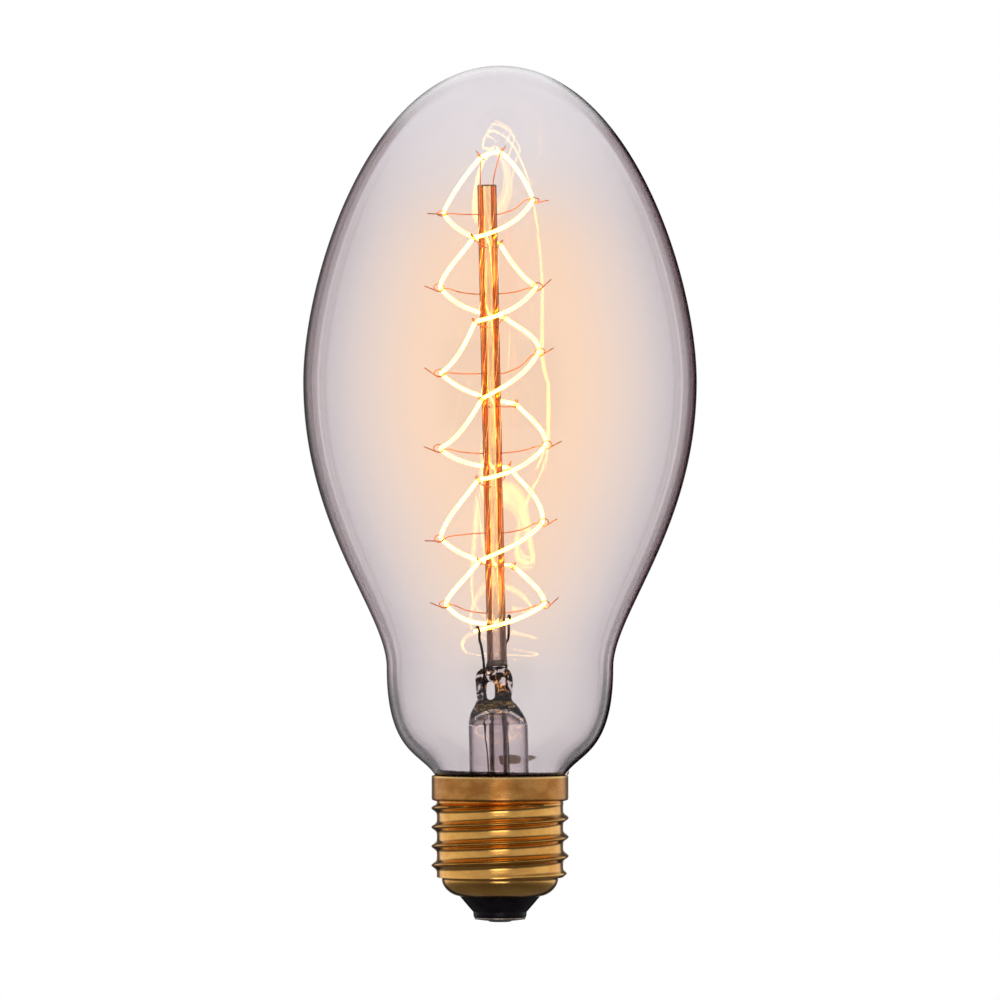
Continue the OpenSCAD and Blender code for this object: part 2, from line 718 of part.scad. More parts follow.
// Black glass insulator that fills the bowl and tapers to the contact
module cap_insulator() {
    top_z = thread_z - 0.2;
    tip_r = insulator_tip_dia / 2;
    neck = floor_dia / 2 - bowl_fit;
    lining = [for (p = reversed(cap_lining)) if (p[1] < top_z - 0.1 && p[1] > floor_z + cap_sheet / 2) p];
    color("black")
        difference() {
            rotate_extrude($fn = 72)
                polygon(concat(
                    [[0, insulator_z], [tip_r - 0.15, insulator_z], [tip_r, insulator_z + 1.1]],
                    curve([tip_r, insulator_z + 1.1], [tip_r + 0.5, insulator_z + 1.6],
                        [neck - 0.6, floor_z - 0.7], [neck, floor_z], 5),
                    [[neck, floor_z + cap_sheet + bowl_fit]],
                    [for (p = lining) if (p[0] > neck + bowl_fit) [p[0] - bowl_fit, p[1] + bowl_fit]],
                    [[bowl_top_r - cap_sheet - bowl_fit, top_z], [0, top_z]]));
            translate([0, 0, -1]) cylinder(d = eyelet_dia + 2 * fit, h = top_z + 2, $fn = 32);
        }
}

// Domed contact plate with the eyelet that carries the centre lead
module centre_contact() {
    eyelet_r = eyelet_dia / 2;
    bore_r = eyelet_bore / 2;
    color("tan")
        rotate_extrude($fn = 64)
            polygon([
                [bore_r, plate_z],
                [solder_dia / 2, plate_z],
                [contact_dia / 2 - 0.3, contact_height - plate_sheet],
                [contact_dia / 2, contact_height - plate_sheet + 0.15],
                [contact_dia / 2, contact_height],
                [eyelet_r, contact_height],
                [eyelet_r, eyelet_top_z],
                [bore_r, eyelet_top_z]
            ]);
}

module centre_solder() {
    button_r = solder_dia / 2 - 0.05;
    plug_r = eyelet_bore / 2 - fit;
    color("silver")
        rotate_extrude($fn = 48)
            polygon(concat(
                [[0, 0], [contact_flat, 0]],
                curve([contact_flat, 0], [contact_flat + 0.4, 0.02],
                    [button_r, plate_z - 0.12], [button_r, plate_z], 4),
                [[plug_r, plate_z], [plug_r, solder_plug_z], [0, solder_plug_z]]));
}

// Bead of solder on the rim of the cap, where the side lead ends
module side_solder() {
    bead_angle = 6;
    glass_low = mouth_r + 0.18;
    color("goldenrod")
        rotate([0, 0, -bead_angle / 2])
            rotate_extrude(angle = bead_angle, $fn = 96)
                polygon([
                    [glass_low, rim_z + fit],
                    [collar_r - 0.05, rim_z + fit],
                    [collar_r + 0.15, rim_z + 0.4],
                    [collar_r + 0.1, rim_z + 0.9],
                    [glass_low + 0.62, rim_z + 1]
                ]);
}

// The lamp, piece by piece

envelope();
stem_flare();
stem_press();
exhaust_tube();
centre_post();
filament();
top_hook(hook_left, -1);  // support_top_left
top_hook(hook_right, 1);  // support_top_right
for (i = [0:turns]) {
    support(left_rings[i], side_level(i), side_tail, left_tail_rise[i], ring_face[i]);
    support(right_rings[i], side_level(i), side_tail, right_tail_rise[i], ring_face[i]);
}
for (i = [0:turns - 1]) {
    support(front_rings[i], cross_level(i), cross_tail, 0, 0);
    support(back_rings[i], cross_level(i), cross_tail, 0, 0);
}
inner_lead_left();
inner_lead_right();
seal_wire_left();
seal_wire_right();
outer_lead_centre();
outer_lead_side();
cap_shell();
cap_cement();
cap_insulator();
centre_contact();
centre_solder();
side_solder();
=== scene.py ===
# Clear lamp with a spiral filament and a brass screw cap, dressed for the camera.
import math

import bmesh
import bpy
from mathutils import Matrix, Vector, noise


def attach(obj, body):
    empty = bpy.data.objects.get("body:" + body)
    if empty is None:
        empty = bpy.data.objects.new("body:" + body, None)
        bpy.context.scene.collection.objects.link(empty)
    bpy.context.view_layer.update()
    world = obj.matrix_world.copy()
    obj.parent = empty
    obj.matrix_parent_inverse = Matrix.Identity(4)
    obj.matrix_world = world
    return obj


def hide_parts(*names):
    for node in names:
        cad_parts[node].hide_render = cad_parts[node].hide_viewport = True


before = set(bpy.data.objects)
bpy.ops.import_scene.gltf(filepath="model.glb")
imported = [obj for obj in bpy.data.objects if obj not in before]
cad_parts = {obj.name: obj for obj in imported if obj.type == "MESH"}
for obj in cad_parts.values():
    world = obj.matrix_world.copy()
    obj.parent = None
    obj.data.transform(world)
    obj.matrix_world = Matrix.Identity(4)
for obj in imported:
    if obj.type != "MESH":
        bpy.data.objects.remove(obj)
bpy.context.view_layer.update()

MM = 0.001
WHITE = (1, 1, 1, 1)

# Driving sizes of the lamp in millimetres
BULB_HEIGHT = 135.1
BULB_R = 37.5
WIDEST_HEIGHT = 74.9
WAIST_R = 21.6
WAIST_HEIGHT = 20.5
GLASS_WALL = 1.0
MOUTH_GAP = 0.34
MOUTH_SPREAD = math.radians(32)
SEAL_DEPTH = 6.9
CREST_R = 13.1
ROOT_R = 12.05
THREAD_PITCH = 3.629
THREAD_HEIGHT = 14.8
THREAD_TURN = math.radians(63)
COLLAR_R = 13.025
COLLAR_HEIGHT = 4.8
CAP_SHEET = 0.3
BOWL_HEIGHT = 3.4
FLOOR_R = 7.85
NECK_ROOM = 0.55
INSULATOR_HEIGHT = 4.1
TIP_R = 5.1
CONTACT_HEIGHT = 0.85
CONTACT_R = 4.85
CONTACT_SHEET = 0.35
EYELET_R = 1.3
EYELET_BORE_R = 0.8
SOLDER_R = 2.25
STEM_LEAN = math.radians(1.2)
FLARE_R = 5.65
FLARE_WALL = 0.9
FLARE_RIM = 1.0
FLARE_HEIGHT = 16.5
TRUMPET_HEIGHT = 6.5
PRESS_HEIGHT = 11.2
EXHAUST_R = 1.8
EXHAUST_BORE_R = 0.9
EXHAUST_SEAT = 3.4
EXHAUST_TIP_DEPTH = 6.5
POST_R = 1.85
POST_BORE_R = 0.6
CROWN_ROOM = 15.6
HOOK_RISE = 10.15
CAGE_FOOT = 11.9
POST_OVER = 4.0
CAGE_RADIUS = 9.3
COIL_DIA = 0.74
FILAMENT_WIRE = 0.13
WINDING_PITCH = 0.27
SUPPORT_WIRE = 0.22
RING_BORE = 1.24
RING_WIDTH = 1.6
RING_SHIFT = 0.14
SPAN_SAG = 1.0
SPAN_BOW = 1.0
INNER_LEAD_DIA = 0.5
SEAL_WIRE_DIA = 0.4
OUTER_LEAD_DIA = 0.25

# Heights from the contact upwards, and the neck's radii
FLOOR_Z = CONTACT_HEIGHT + INSULATOR_HEIGHT
THREAD_Z = FLOOR_Z + BOWL_HEIGHT
COLLAR_Z = THREAD_Z + THREAD_HEIGHT
RIM_Z = COLLAR_Z + COLLAR_HEIGHT
SEAL_Z = RIM_Z - SEAL_DEPTH
THROAT_Z = RIM_Z - 0.37 * SEAL_DEPTH
CROWN_Z = RIM_Z + BULB_HEIGHT
WIDEST_Z = RIM_Z + WIDEST_HEIGHT
WAIST_Z = RIM_Z + WAIST_HEIGHT
FLARE_TOP_Z = SEAL_Z + FLARE_HEIGHT
PRESS_TOP_Z = FLARE_TOP_Z + PRESS_HEIGHT
EXHAUST_TIP_Z = SEAL_Z - FLARE_RIM - EXHAUST_TIP_DEPTH
HOOK_Z = CROWN_Z - GLASS_WALL - CROWN_ROOM
HEAD_Z = HOOK_Z - HOOK_RISE
FOOT_Z = PRESS_TOP_Z + CAGE_FOOT
POST_TOP_Z = HEAD_Z + POST_OVER
EYELET_TOP_Z = THREAD_Z + 0.8
SOLDER_SEAT_Z = CONTACT_HEIGHT - 0.6
NECK_R = ROOT_R - CAP_SHEET - NECK_ROOM
MOUTH_R = COLLAR_R - CAP_SHEET - MOUTH_GAP


# Points, curves and paths

def corners(*places):
    return [Vector(place) for place in places]


def up(z):
    return Vector((0, 0, z))


def bezier(a, b, c, d, steps):
    a, b, c, d = corners(a, b, c, d)
    points = []
    for i in range(1, steps + 1):
        t = i / steps
        s = 1 - t
        points.append(a * s ** 3 + b * 3 * s * s * t + c * 3 * s * t * t + d * t ** 3)
    return points


def bend(outline, b, c, d, steps):
    """Runs an outline on from its last point in a soft curve."""
    outline += bezier(outline[-1], b, c, d, steps)


def upright(r, z, a):
    return Vector((r * math.cos(a), r * math.sin(a), z))


def leaned(p):
    """The stem leans: its top stands to the left."""
    x, y, z = p
    rise = z - SEAL_Z
    return Vector((
        x * math.cos(STEM_LEAN) - rise * math.sin(STEM_LEAN),
        y,
        SEAL_Z + x * math.sin(STEM_LEAN) + rise * math.cos(STEM_LEAN),
    ))


def leaning(r, z, a):
    return leaned((r * math.cos(a), r * math.sin(a), z))


def square_off(v, axis):
    return (v - v.dot(axis) * axis).normalized()


def direction_at(path, i):
    ahead = path[min(i + 1, len(path) - 1)]
    behind = path[max(i - 1, 0)]
    return (ahead - behind).normalized()


def smoothed(points, steps):
    """A soft curve through all the points, as bent wire runs."""
    full = [2 * points[0] - points[1]] + list(points) + [2 * points[-1] - points[-2]]
    path = []
    for i in range(1, len(full) - 2):
        p0, p1, p2, p3 = full[i - 1:i + 3]
        t1 = max((p1 - p0).length, 1e-4) ** 0.5
        t2 = t1 + max((p2 - p1).length, 1e-4) ** 0.5
        t3 = t2 + max((p3 - p2).length, 1e-4) ** 0.5
        for k in range(steps):
            t = t1 + (t2 - t1) * k / steps
            a1 = p0 * (t1 - t) / t1 + p1 * t / t1
            a2 = p1 * (t2 - t) / (t2 - t1) + p2 * (t - t1) / (t2 - t1)
            a3 = p2 * (t3 - t) / (t3 - t2) + p3 * (t - t2) / (t3 - t2)
            b1 = a1 * (t2 - t) / t2 + a2 * t / t2
            b2 = a2 * (t3 - t) / (t3 - t1) + a3 * (t - t1) / (t3 - t1)
            path.append(b1 * (t2 - t) / (t2 - t1) + b2 * (t - t1) / (t2 - t1))
    path.append(points[-1])
    return path


def inwards(outline, i):
    """Square to an outline that runs down the outside, towards the inside."""
    along = direction_at(outline, i)
    return Vector((along[1], -along[0]))


def inset(outline, wall):
    return [p + wall * (inwards(outline, i) if i else Vector((0, -1))) for i, p in enumerate(outline)]


# Pieces as meshes

def piece_from(name, points, faces, sharp):
    """A closed mesh of points in millimetres."""
    mesh = bpy.data.meshes.new(name)
    mesh.from_pydata([tuple(MM * c for c in p) for p in points], [], faces)
    return finished(name, mesh, sharp)


def finished(name, mesh, sharp):
    """The mesh as a piece: doubled points merged, faces turned outwards and shaded smooth."""
    work = bmesh.new()
    work.from_mesh(mesh)
    bmesh.ops.remove_doubles(work, verts=work.verts, dist=2e-6)
    bmesh.ops.dissolve_degenerate(work, edges=work.edges, dist=1e-7)
    bmesh.ops.recalc_face_normals(work, faces=work.faces)
    work.to_mesh(mesh)
    work.free()
    for face in mesh.polygons:
        face.use_smooth = True
    mesh.set_sharp_from_angle(angle=math.radians(sharp))
    return placed(name, mesh)


def placed(name, data):
    piece = bpy.data.objects.new(name, data)
    bpy.context.scene.collection.objects.link(piece)
    return piece


def lathe(name, outline, around, place=upright, sharp=35):
    """A turned piece: the outline of radius and height goes once round the axis.

    An outline that starts and ends on the axis is closed by poles, any other one joins up with itself.
    """
    poled = outline[0][0] < 1e-6 and outline[-1][0] < 1e-6
    points, rows = [], []
    for r, z in outline:
        if r < 1e-6:
            rows.append([len(points)] * around)
            points.append(place(0.0, z, 0.0))
            continue
        rows.append(list(range(len(points), len(points) + around)))
        points += [place(r, z, 2 * math.pi * k / around) for k in range(around)]
    faces = []
    for i in range(len(rows) - (1 if poled else 0)):
        low, high = rows[i], rows[(i + 1) % len(rows)]
        for k in range(around):
            ring = [low[k], low[(k + 1) % around], high[(k + 1) % around], high[k]]
            unique = [c for n, c in enumerate(ring) if c not in ring[:n]]
            if len(unique) > 2:
                faces.append(unique)
    return piece_from(name, points, faces, sharp)


def copy_of(name, node, sharp):
    """A merged copy of a node's solid, to be worked on."""
    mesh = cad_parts[node].data.copy()
    mesh.name = name
    mesh.materials.clear()
    return finished(name, mesh, sharp)


def applied(piece):
    """The piece with its modifiers worked into its mesh."""
    view = bpy.context.evaluated_depsgraph_get()
    mesh = bpy.data.meshes.new_from_object(piece.evaluated_get(view))
    piece.modifiers.clear()
    piece.data = mesh
    return piece


# Nodes and sums of them

def plug(tree, socket, value):
    """Links a socket to a value that varies, or sets it to a plain one."""
    if isinstance(value, bpy.types.NodeSocket):
        tree.links.new(value, socket)
    elif value is not None:
        socket.default_value = value


def feed(tree, node, **inputs):
    for name, value in inputs.items():
        plug(tree, node.inputs[name.replace("_", " ")], value)


def put(tree, kind, settings=None, **inputs):
    node = tree.nodes.new(kind)
    for name, value in (settings or {}).items():
        setattr(node, name, value)
    feed(tree, node, **inputs)
    return node


def calc(tree, operation, *values):
    node = put(tree, "ShaderNodeMath", {"operation": operation})
    for socket, value in zip(node.inputs, values):
        plug(tree, socket, value)
    return node.outputs[0]


def times(tree, product, *factors):
    for factor in factors:
        product = calc(tree, "MULTIPLY", product, factor)
    return product


def sloped(tree, value, slope, start):
    return calc(tree, "MULTIPLY_ADD", value, slope, start)


def squares(tree, a, b):
    return calc(tree, "ADD", calc(tree, "POWER", a, 2.0), calc(tree, "POWER", b, 2.0))


def vector_calc(tree, operation, a, b=None, scale=None, output="Vector"):
    node = put(tree, "ShaderNodeVectorMath", {"operation": operation})
    plug(tree, node.inputs[0], a)
    plug(tree, node.inputs[1], b)
    if scale is not None:
        feed(tree, node, Scale=scale)
    return node.outputs[output]


def span(tree, value, low, high):
    """A soft step of a value, from 0 at low to 1 at high."""
    return put(tree, "ShaderNodeMapRange", {"interpolation_type": "SMOOTHSTEP"}, Value=value,
               From_Min=low, From_Max=high).outputs[0]


def add_input(tree, name, kind, start=None):
    socket = tree.interface.new_socket(name, in_out="INPUT", socket_type="NodeSocket" + kind)
    if start is not None:
        socket.default_value = start


def add_output(tree, name, kind):
    tree.interface.new_socket(name, in_out="OUTPUT", socket_type="NodeSocket" + kind)


# Wires, the filament coil and the thread grow by rule

def new_tree(name, sizes):
    tree = bpy.data.node_groups.new(name, "GeometryNodeTree")
    tree.is_modifier = True
    add_input(tree, "Shape", "Geometry")
    for size in sizes:
        add_input(tree, *size)
    add_input(tree, "Finish", "Material")
    add_output(tree, "Piece", "Geometry")
    return tree, put(tree, "NodeGroupInput").outputs


def end_tree(tree, geometry, finish):
    real = put(tree, "GeometryNodeRealizeInstances", Geometry=geometry)
    dressed = put(tree, "GeometryNodeSetMaterial", Geometry=real.outputs[0], Material=finish)
    put(tree, "NodeGroupOutput", Piece=dressed.outputs[0])
    return tree


def round_wire(tree, curve, sides, thickness):
    """Wire of one thickness along a curve, with closed ends."""
    profile = put(tree, "GeometryNodeCurvePrimitiveCircle", Resolution=sides,
                  Radius=times(tree, thickness, 0.5))
    return put(tree, "GeometryNodeCurveToMesh", Curve=curve, Profile_Curve=profile.outputs[0],
               Fill_Caps=True).outputs[0]


def drawn_wire_tree():
    tree, given = new_tree("drawn_wire", [("Thickness", "Float", 0.0003), ("Sides", "Int", 12)])
    curve = put(tree, "GeometryNodeMeshToCurve", Mesh=given["Shape"])
    return end_tree(tree, round_wire(tree, curve.outputs[0], given["Sides"], given["Thickness"]),
                    given["Finish"])


def coiled_filament_tree():
    """Thin wire wound into a close coil, which follows the path."""
    tree, given = new_tree("coiled_filament", [
        ("Coil Radius", "Float", 0.0003), ("Wire Thickness", "Float", 0.0001),
        ("Winding Pitch", "Float", 0.0003), ("Points", "Int", 1000),
    ])
    curve = put(tree, "GeometryNodeMeshToCurve", Mesh=given["Shape"])
    even = put(tree, "GeometryNodeResampleCurve", Curve=curve.outputs[0], Count=given["Points"])
    along = put(tree, "GeometryNodeInputTangent").outputs[0]
    across = put(tree, "GeometryNodeInputNormal").outputs[0]
    third = vector_calc(tree, "CROSS_PRODUCT", along, across)
    length = put(tree, "GeometryNodeSplineParameter").outputs["Length"]
    turn = times(tree, calc(tree, "DIVIDE", length, given["Winding Pitch"]), 2 * math.pi)
    one = times(tree, calc(tree, "COSINE", turn), given["Coil Radius"])
    two = times(tree, calc(tree, "SINE", turn), given["Coil Radius"])
    offset = vector_calc(tree, "ADD", vector_calc(tree, "SCALE", across, scale=one),
                         vector_calc(tree, "SCALE", third, scale=two))
    marked = put(tree, "GeometryNodeStoreNamedAttribute", {"data_type": "FLOAT_VECTOR", "domain": "POINT"},
                 Geometry=even.outputs[0], Name="outward", Value=offset)
    wound = put(tree, "GeometryNodeSetPosition", Geometry=marked.outputs[0], Offset=offset)
    return end_tree(tree, round_wire(tree, wound.outputs[0], 4, given["Wire Thickness"]), given["Finish"])


def rolled_thread_tree():
    """Rolls a round-crested thread outwards into a plain turned blank."""
    tree, given = new_tree("rolled_thread", [
        ("Thread Pitch", "Float", 0.003629), ("Crest Rise", "Float", 0.001),
        ("Crest Sharpness", "Float", 2.0), ("Start Turn", "Float", 0.0), ("Low End", "Float", 0.008),
        ("Low Runout", "Float", 0.001), ("High End", "Float", 0.023), ("High Runout", "Float", 0.001),
    ])
    place = put(tree, "GeometryNodeInputPosition").outputs[0]
    x, y, z = put(tree, "ShaderNodeSeparateXYZ", Vector=place).outputs
    up_thread = calc(tree, "SUBTRACT", z, given["Low End"])
    turns = times(tree, calc(tree, "DIVIDE", up_thread, given["Thread Pitch"]), 2 * math.pi)
    phase = calc(tree, "SUBTRACT", turns, calc(tree, "ARCTAN2", y, x))
    phase = calc(tree, "SUBTRACT", phase, given["Start Turn"])
    wave = sloped(tree, calc(tree, "COSINE", phase), 0.5, 0.5)
    low = span(tree, z, given["Low End"], calc(tree, "ADD", given["Low End"], given["Low Runout"]))
    high = span(tree, z, given["High End"], calc(tree, "SUBTRACT", given["High End"], given["High Runout"]))
    ends = times(tree, low, high, given["Crest Rise"])
    rise = times(tree, calc(tree, "POWER", wave, given["Crest Sharpness"]), ends)
    flat = put(tree, "ShaderNodeCombineXYZ", X=x, Y=y, Z=0.0).outputs[0]
    offset = vector_calc(tree, "SCALE", vector_calc(tree, "NORMALIZE", flat), scale=rise)
    rolled = put(tree, "GeometryNodeSetPosition", Geometry=given["Shape"], Offset=offset)
    return end_tree(tree, rolled.outputs[0], given["Finish"])


def path_mesh(name, path):
    mesh = bpy.data.meshes.new(name)
    links = [(i, i + 1) for i in range(len(path) - 1)]
    mesh.from_pydata([tuple(MM * c for c in p) for p in path], links, [])
    return mesh


def grown(name, start, tree, finish, sizes):
    """Lets a tree work on a start mesh and keeps the plain mesh that results."""
    carrier = placed(name + "_start", start)
    growth = carrier.modifiers.new("growth", "NODES")
    growth.node_group = tree
    given = dict(sizes, Finish=finish)
    for item in tree.interface.items_tree:
        if item.item_type == "SOCKET" and item.in_out == "INPUT" and item.name in given:
            growth[item.identifier] = given[item.name]
    view = bpy.context.evaluated_depsgraph_get()
    result = bpy.data.meshes.new_from_object(carrier.evaluated_get(view))
    bpy.data.objects.remove(carrier)
    for face in result.polygons:
        face.use_smooth = True
    result.name = name
    return placed(name, result)


def settle(piece, node, finish=None):
    """The piece takes the node's place on the lamp."""
    if finish is not None:
        piece.data.materials.clear()
        piece.data.materials.append(finish)
    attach(piece, "root")
    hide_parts(node)


# Colours, masks and surfaces

def tone(red, green, blue):
    """A colour as a screen shows it, made linear."""
    linear = []
    for value in (red, green, blue):
        v = value / 255
        linear.append(v / 12.92 if v <= 0.04045 else ((v + 0.055) / 1.055) ** 2.4)
    return (*linear, 1.0)


def ramp(tree, value, *stops):
    """Bands of colour. Each stop is its place, then a grey, a linear colour or three screen values."""
    node = put(tree, "ShaderNodeValToRGB", Fac=value)
    bands = node.color_ramp.elements
    while len(bands) < len(stops):
        bands.new(0.5)
    for band, (place, *colour) in zip(bands, stops):
        shade = tone(*colour) if len(colour) == 3 else colour[0]
        band.position = place
        band.color = shade if isinstance(shade, tuple) else (shade, shade, shade, 1)
    return node.outputs["Color"]


def blend(tree, share, a, b, how="MIX"):
    node = put(tree, "ShaderNodeMix", {"data_type": "RGBA", "blend_type": how, "clamp_factor": True})
    for socket, value in zip((node.inputs[0], node.inputs[6], node.inputs[7]), (share, a, b)):
        plug(tree, socket, value)
    return node.outputs[2]


def tint(tree, a, b):
    return blend(tree, 1.0, a, b, "MULTIPLY")


def object_place(tree):
    return put(tree, "ShaderNodeTexCoord").outputs["Object"]


def measured(tree):
    """Metres to the right and to the back, and millimetres upwards."""
    x, y, z = put(tree, "ShaderNodeSeparateXYZ", Vector=object_place(tree)).outputs
    return x, y, times(tree, z, 1000.0)


def beside_stem_axis(tree, x, height):
    """Millimetres to the right of the leaning stem's axis."""
    raised = calc(tree, "SUBTRACT", height, SEAL_Z)
    return sloped(tree, x, 1000.0, times(tree, raised, math.tan(STEM_LEAN)))


def from_stem_axis(tree, x, y, height):
    return calc(tree, "SQRT", squares(tree, beside_stem_axis(tree, x, height), times(tree, y, 1000.0)))


def noise_on(tree, scale, **more):
    return put(tree, "ShaderNodeTexNoise", Vector=object_place(tree), Scale=scale, **more).outputs[0]


def patchy_group():
    """Uneven patches and fine grain of a worked surface, as a mask and a height."""
    tree = bpy.data.node_groups.new("patchy_surface", "ShaderNodeTree")
    for name, start in (("Patch Scale", 300.0), ("Grain Scale", 3000.0), ("Stretch", 1.0)):
        add_input(tree, name, "Float", start)
    add_output(tree, "Patches", "Float")
    add_output(tree, "Grain", "Float")
    given = put(tree, "NodeGroupInput").outputs
    squeeze = put(tree, "ShaderNodeCombineXYZ", X=1.0, Y=1.0, Z=given["Stretch"])
    drawn_out = vector_calc(tree, "MULTIPLY", object_place(tree), squeeze.outputs[0])
    patches = put(tree, "ShaderNodeTexNoise", Vector=drawn_out, Scale=given["Patch Scale"], Detail=4.0,
                  Roughness=0.6)
    grain = put(tree, "ShaderNodeTexNoise", Vector=drawn_out, Scale=given["Grain Scale"], Detail=3.0)
    put(tree, "NodeGroupOutput", Patches=span(tree, patches.outputs[0], 0.3, 0.7), Grain=grain.outputs[0])
    return tree


patchy_surface = patchy_group()


def patchy(tree, patch_scale, grain_scale, stretch=1.0):
    node = put(tree, "ShaderNodeGroup", {"node_tree": patchy_surface}, Patch_Scale=patch_scale,
               Grain_Scale=grain_scale, Stretch=stretch)
    return node.outputs["Patches"], node.outputs["Grain"]


def new_finish(name):
    finish = bpy.data.materials.new(name)
    finish.use_nodes = True
    tree = finish.node_tree
    tree.nodes.clear()
    surface = put(tree, "ShaderNodeBsdfPrincipled")
    put(tree, "ShaderNodeOutputMaterial", Surface=surface.outputs[0])
    return finish, tree, surface


def mix_out(tree, share, first, second):
    """The material shows a mix of two shaders."""
    choice = put(tree, "ShaderNodeMixShader", Fac=share)
    plug(tree, choice.inputs[1], first.outputs[0])
    plug(tree, choice.inputs[2], second.outputs[0])
    out = next(node for node in tree.nodes if node.type == "OUTPUT_MATERIAL")
    feed(tree, out, Surface=choice.outputs[0])


def dent(tree, surface, height, strength, depth):
    bump = put(tree, "ShaderNodeBump", Strength=strength, Distance=depth, Height=height)
    feed(tree, surface, Normal=bump.outputs[0])


# Glass

def edge_on(tree):
    """0 where glass is seen squarely, 1 at its outline."""
    return put(tree, "ShaderNodeLayerWeight", Blend=0.5).outputs["Facing"]


def from_outside(tree, colour):
    """The tint acts where a ray meets the glass from the air, not on its way out of it."""
    back = put(tree, "ShaderNodeNewGeometry").outputs["Backfacing"]
    return blend(tree, back, colour, WHITE)


def through_solid(tree, colour):
    """A solid piece is met from the air only once, so its tint counts twice there."""
    return from_outside(tree, tint(tree, colour, colour))


def make_glass(tree, surface, colour, ior, shade):
    """Smooth glass. Light from the lamps passes it with a shade, so that it throws no black shadow."""
    feed(tree, surface, Base_Color=colour, Roughness=0.0, IOR=ior, Transmission_Weight=1.0, Metallic=0.0)
    clear = put(tree, "ShaderNodeBsdfTransparent", Color=(*shade, 1))
    mix_out(tree, put(tree, "ShaderNodeLightPath").outputs["Is Shadow Ray"], surface, clear)


def bulb_glass_finish():
    """Clear blown glass: lavender grey, with painted shade darkening it towards its sides, and a painted
    warm glow round the lit filament.
    """
    finish, tree, surface = new_finish("bulb_glass")
    facing = edge_on(tree)
    x, y, height = measured(tree)
    # The ramp's lavender grey is the glass's own tint. Its darkening towards the outline, with a darker
    # line in it, is painted shade for the dark the glass refracts and mirrors there.
    side = ramp(tree, facing, (0.0, 230, 220, 219), (0.20, 227, 216, 215), (0.38, 218, 207, 208),
                (0.50, 209, 198, 200), (0.56, 203, 192, 195), (0.595, 178, 166, 170),
                (0.64, 196, 184, 188), (0.69, 226, 216, 220), (1.0, 226, 216, 220))
    # Painted light from above: towards the crown the glass takes this paler ramp.
    pale = ramp(tree, facing, (0.0, 236, 228, 230), (0.6, 236, 230, 236), (0.85, 228, 220, 226),
                (1.0, 200, 188, 198))
    clear = blend(tree, span(tree, height, 128.0, 166.0), side, pale)
    # Painted shade: a nearly black line along the glass's outline, faded out towards the crown.
    painted_edge_shade = ramp(tree, facing, (0.0, 1.0), (0.69, 1.0), (0.71, (0.40, 0.28, 0.30, 1)),
                     (0.76, (0.13, 0.065, 0.075, 1)), (0.81, (0.026, 0.010, 0.013, 1)),
                     (0.86, (0.003, 0.001, 0.0015, 1)), (1.0, (0.001, 0.0005, 0.0005, 1)))
    clear = tint(tree, clear, blend(tree, span(tree, height, 149.0, 160.0), painted_edge_shade, WHITE))
    low_belly = tint(tree, clear, tone(243, 244, 247))
    clear = blend(tree, span(tree, height, 64.0, 46.0), clear, low_belly)
    # Painted shade: a dark line along the outline of the glass at the neck.
    painted_neck_shade = ramp(tree, facing, (0.0, 1.0), (0.60, 1.0), (0.66, 0.42), (0.70, 0.16), (0.77, 0.04),
                     (0.82, 0.008), (1.0, 0.008))
    clear = blend(tree, span(tree, height, 52.0, 42.0), clear, tint(tree, clear, painted_neck_shade))

    # Painted light: a warm glow on the glass at the filament's height, strongest where the glass is seen
    # squarely.
    painted_glow_by_facing = ramp(tree, facing, (0.0, 1.0), (0.10, 0.86), (0.22, 0.42), (0.38, 0.08), (0.5, 0.0))
    painted_glow_share = times(tree, span(tree, height, 42.0, 70.0), span(tree, height, 150.0, 126.0), painted_glow_by_facing)
    painted_glow = blend(tree, painted_glow_share, clear, tone(255, 218, 189))

    # A dark brown patch on the back wall, just above the cap.
    across = sloped(tree, x, 1000 / 4.0, -0.85)
    upwards = sloped(tree, height, 1 / 0.3, -(RIM_Z + 2.9) / 0.3)
    in_brown_patch = span(tree, squares(tree, across, upwards), 1.1, 0.6)
    brown_patch = times(tree, in_brown_patch, span(tree, y, 0.0, 0.003))
    with_brown_patch = blend(tree, brown_patch, painted_glow, (0.03, 0.012, 0.004, 1))

    # Painted shade: a dark band with a ragged edge on the glass just above the cap's rim, for the gap under
    # the glass's lower edge.
    joint_line = sloped(tree, x, -22.0, RIM_Z + 0.75)
    joint_line = calc(tree, "ADD", joint_line, times(tree, noise_on(tree, 900.0), 0.35))
    in_joint_shade = span(tree, calc(tree, "SUBTRACT", height, joint_line), 0.12, -0.12)
    joint_shaded = blend(tree, in_joint_shade, with_brown_patch, tone(24, 17, 20))
    make_glass(tree, surface, from_outside(tree, joint_shaded), 1.4, (0.90, 0.88, 0.89))
    dent(tree, surface, noise_on(tree, 34.0, Detail=0.0), 0.4, 0.0005)
    return finish


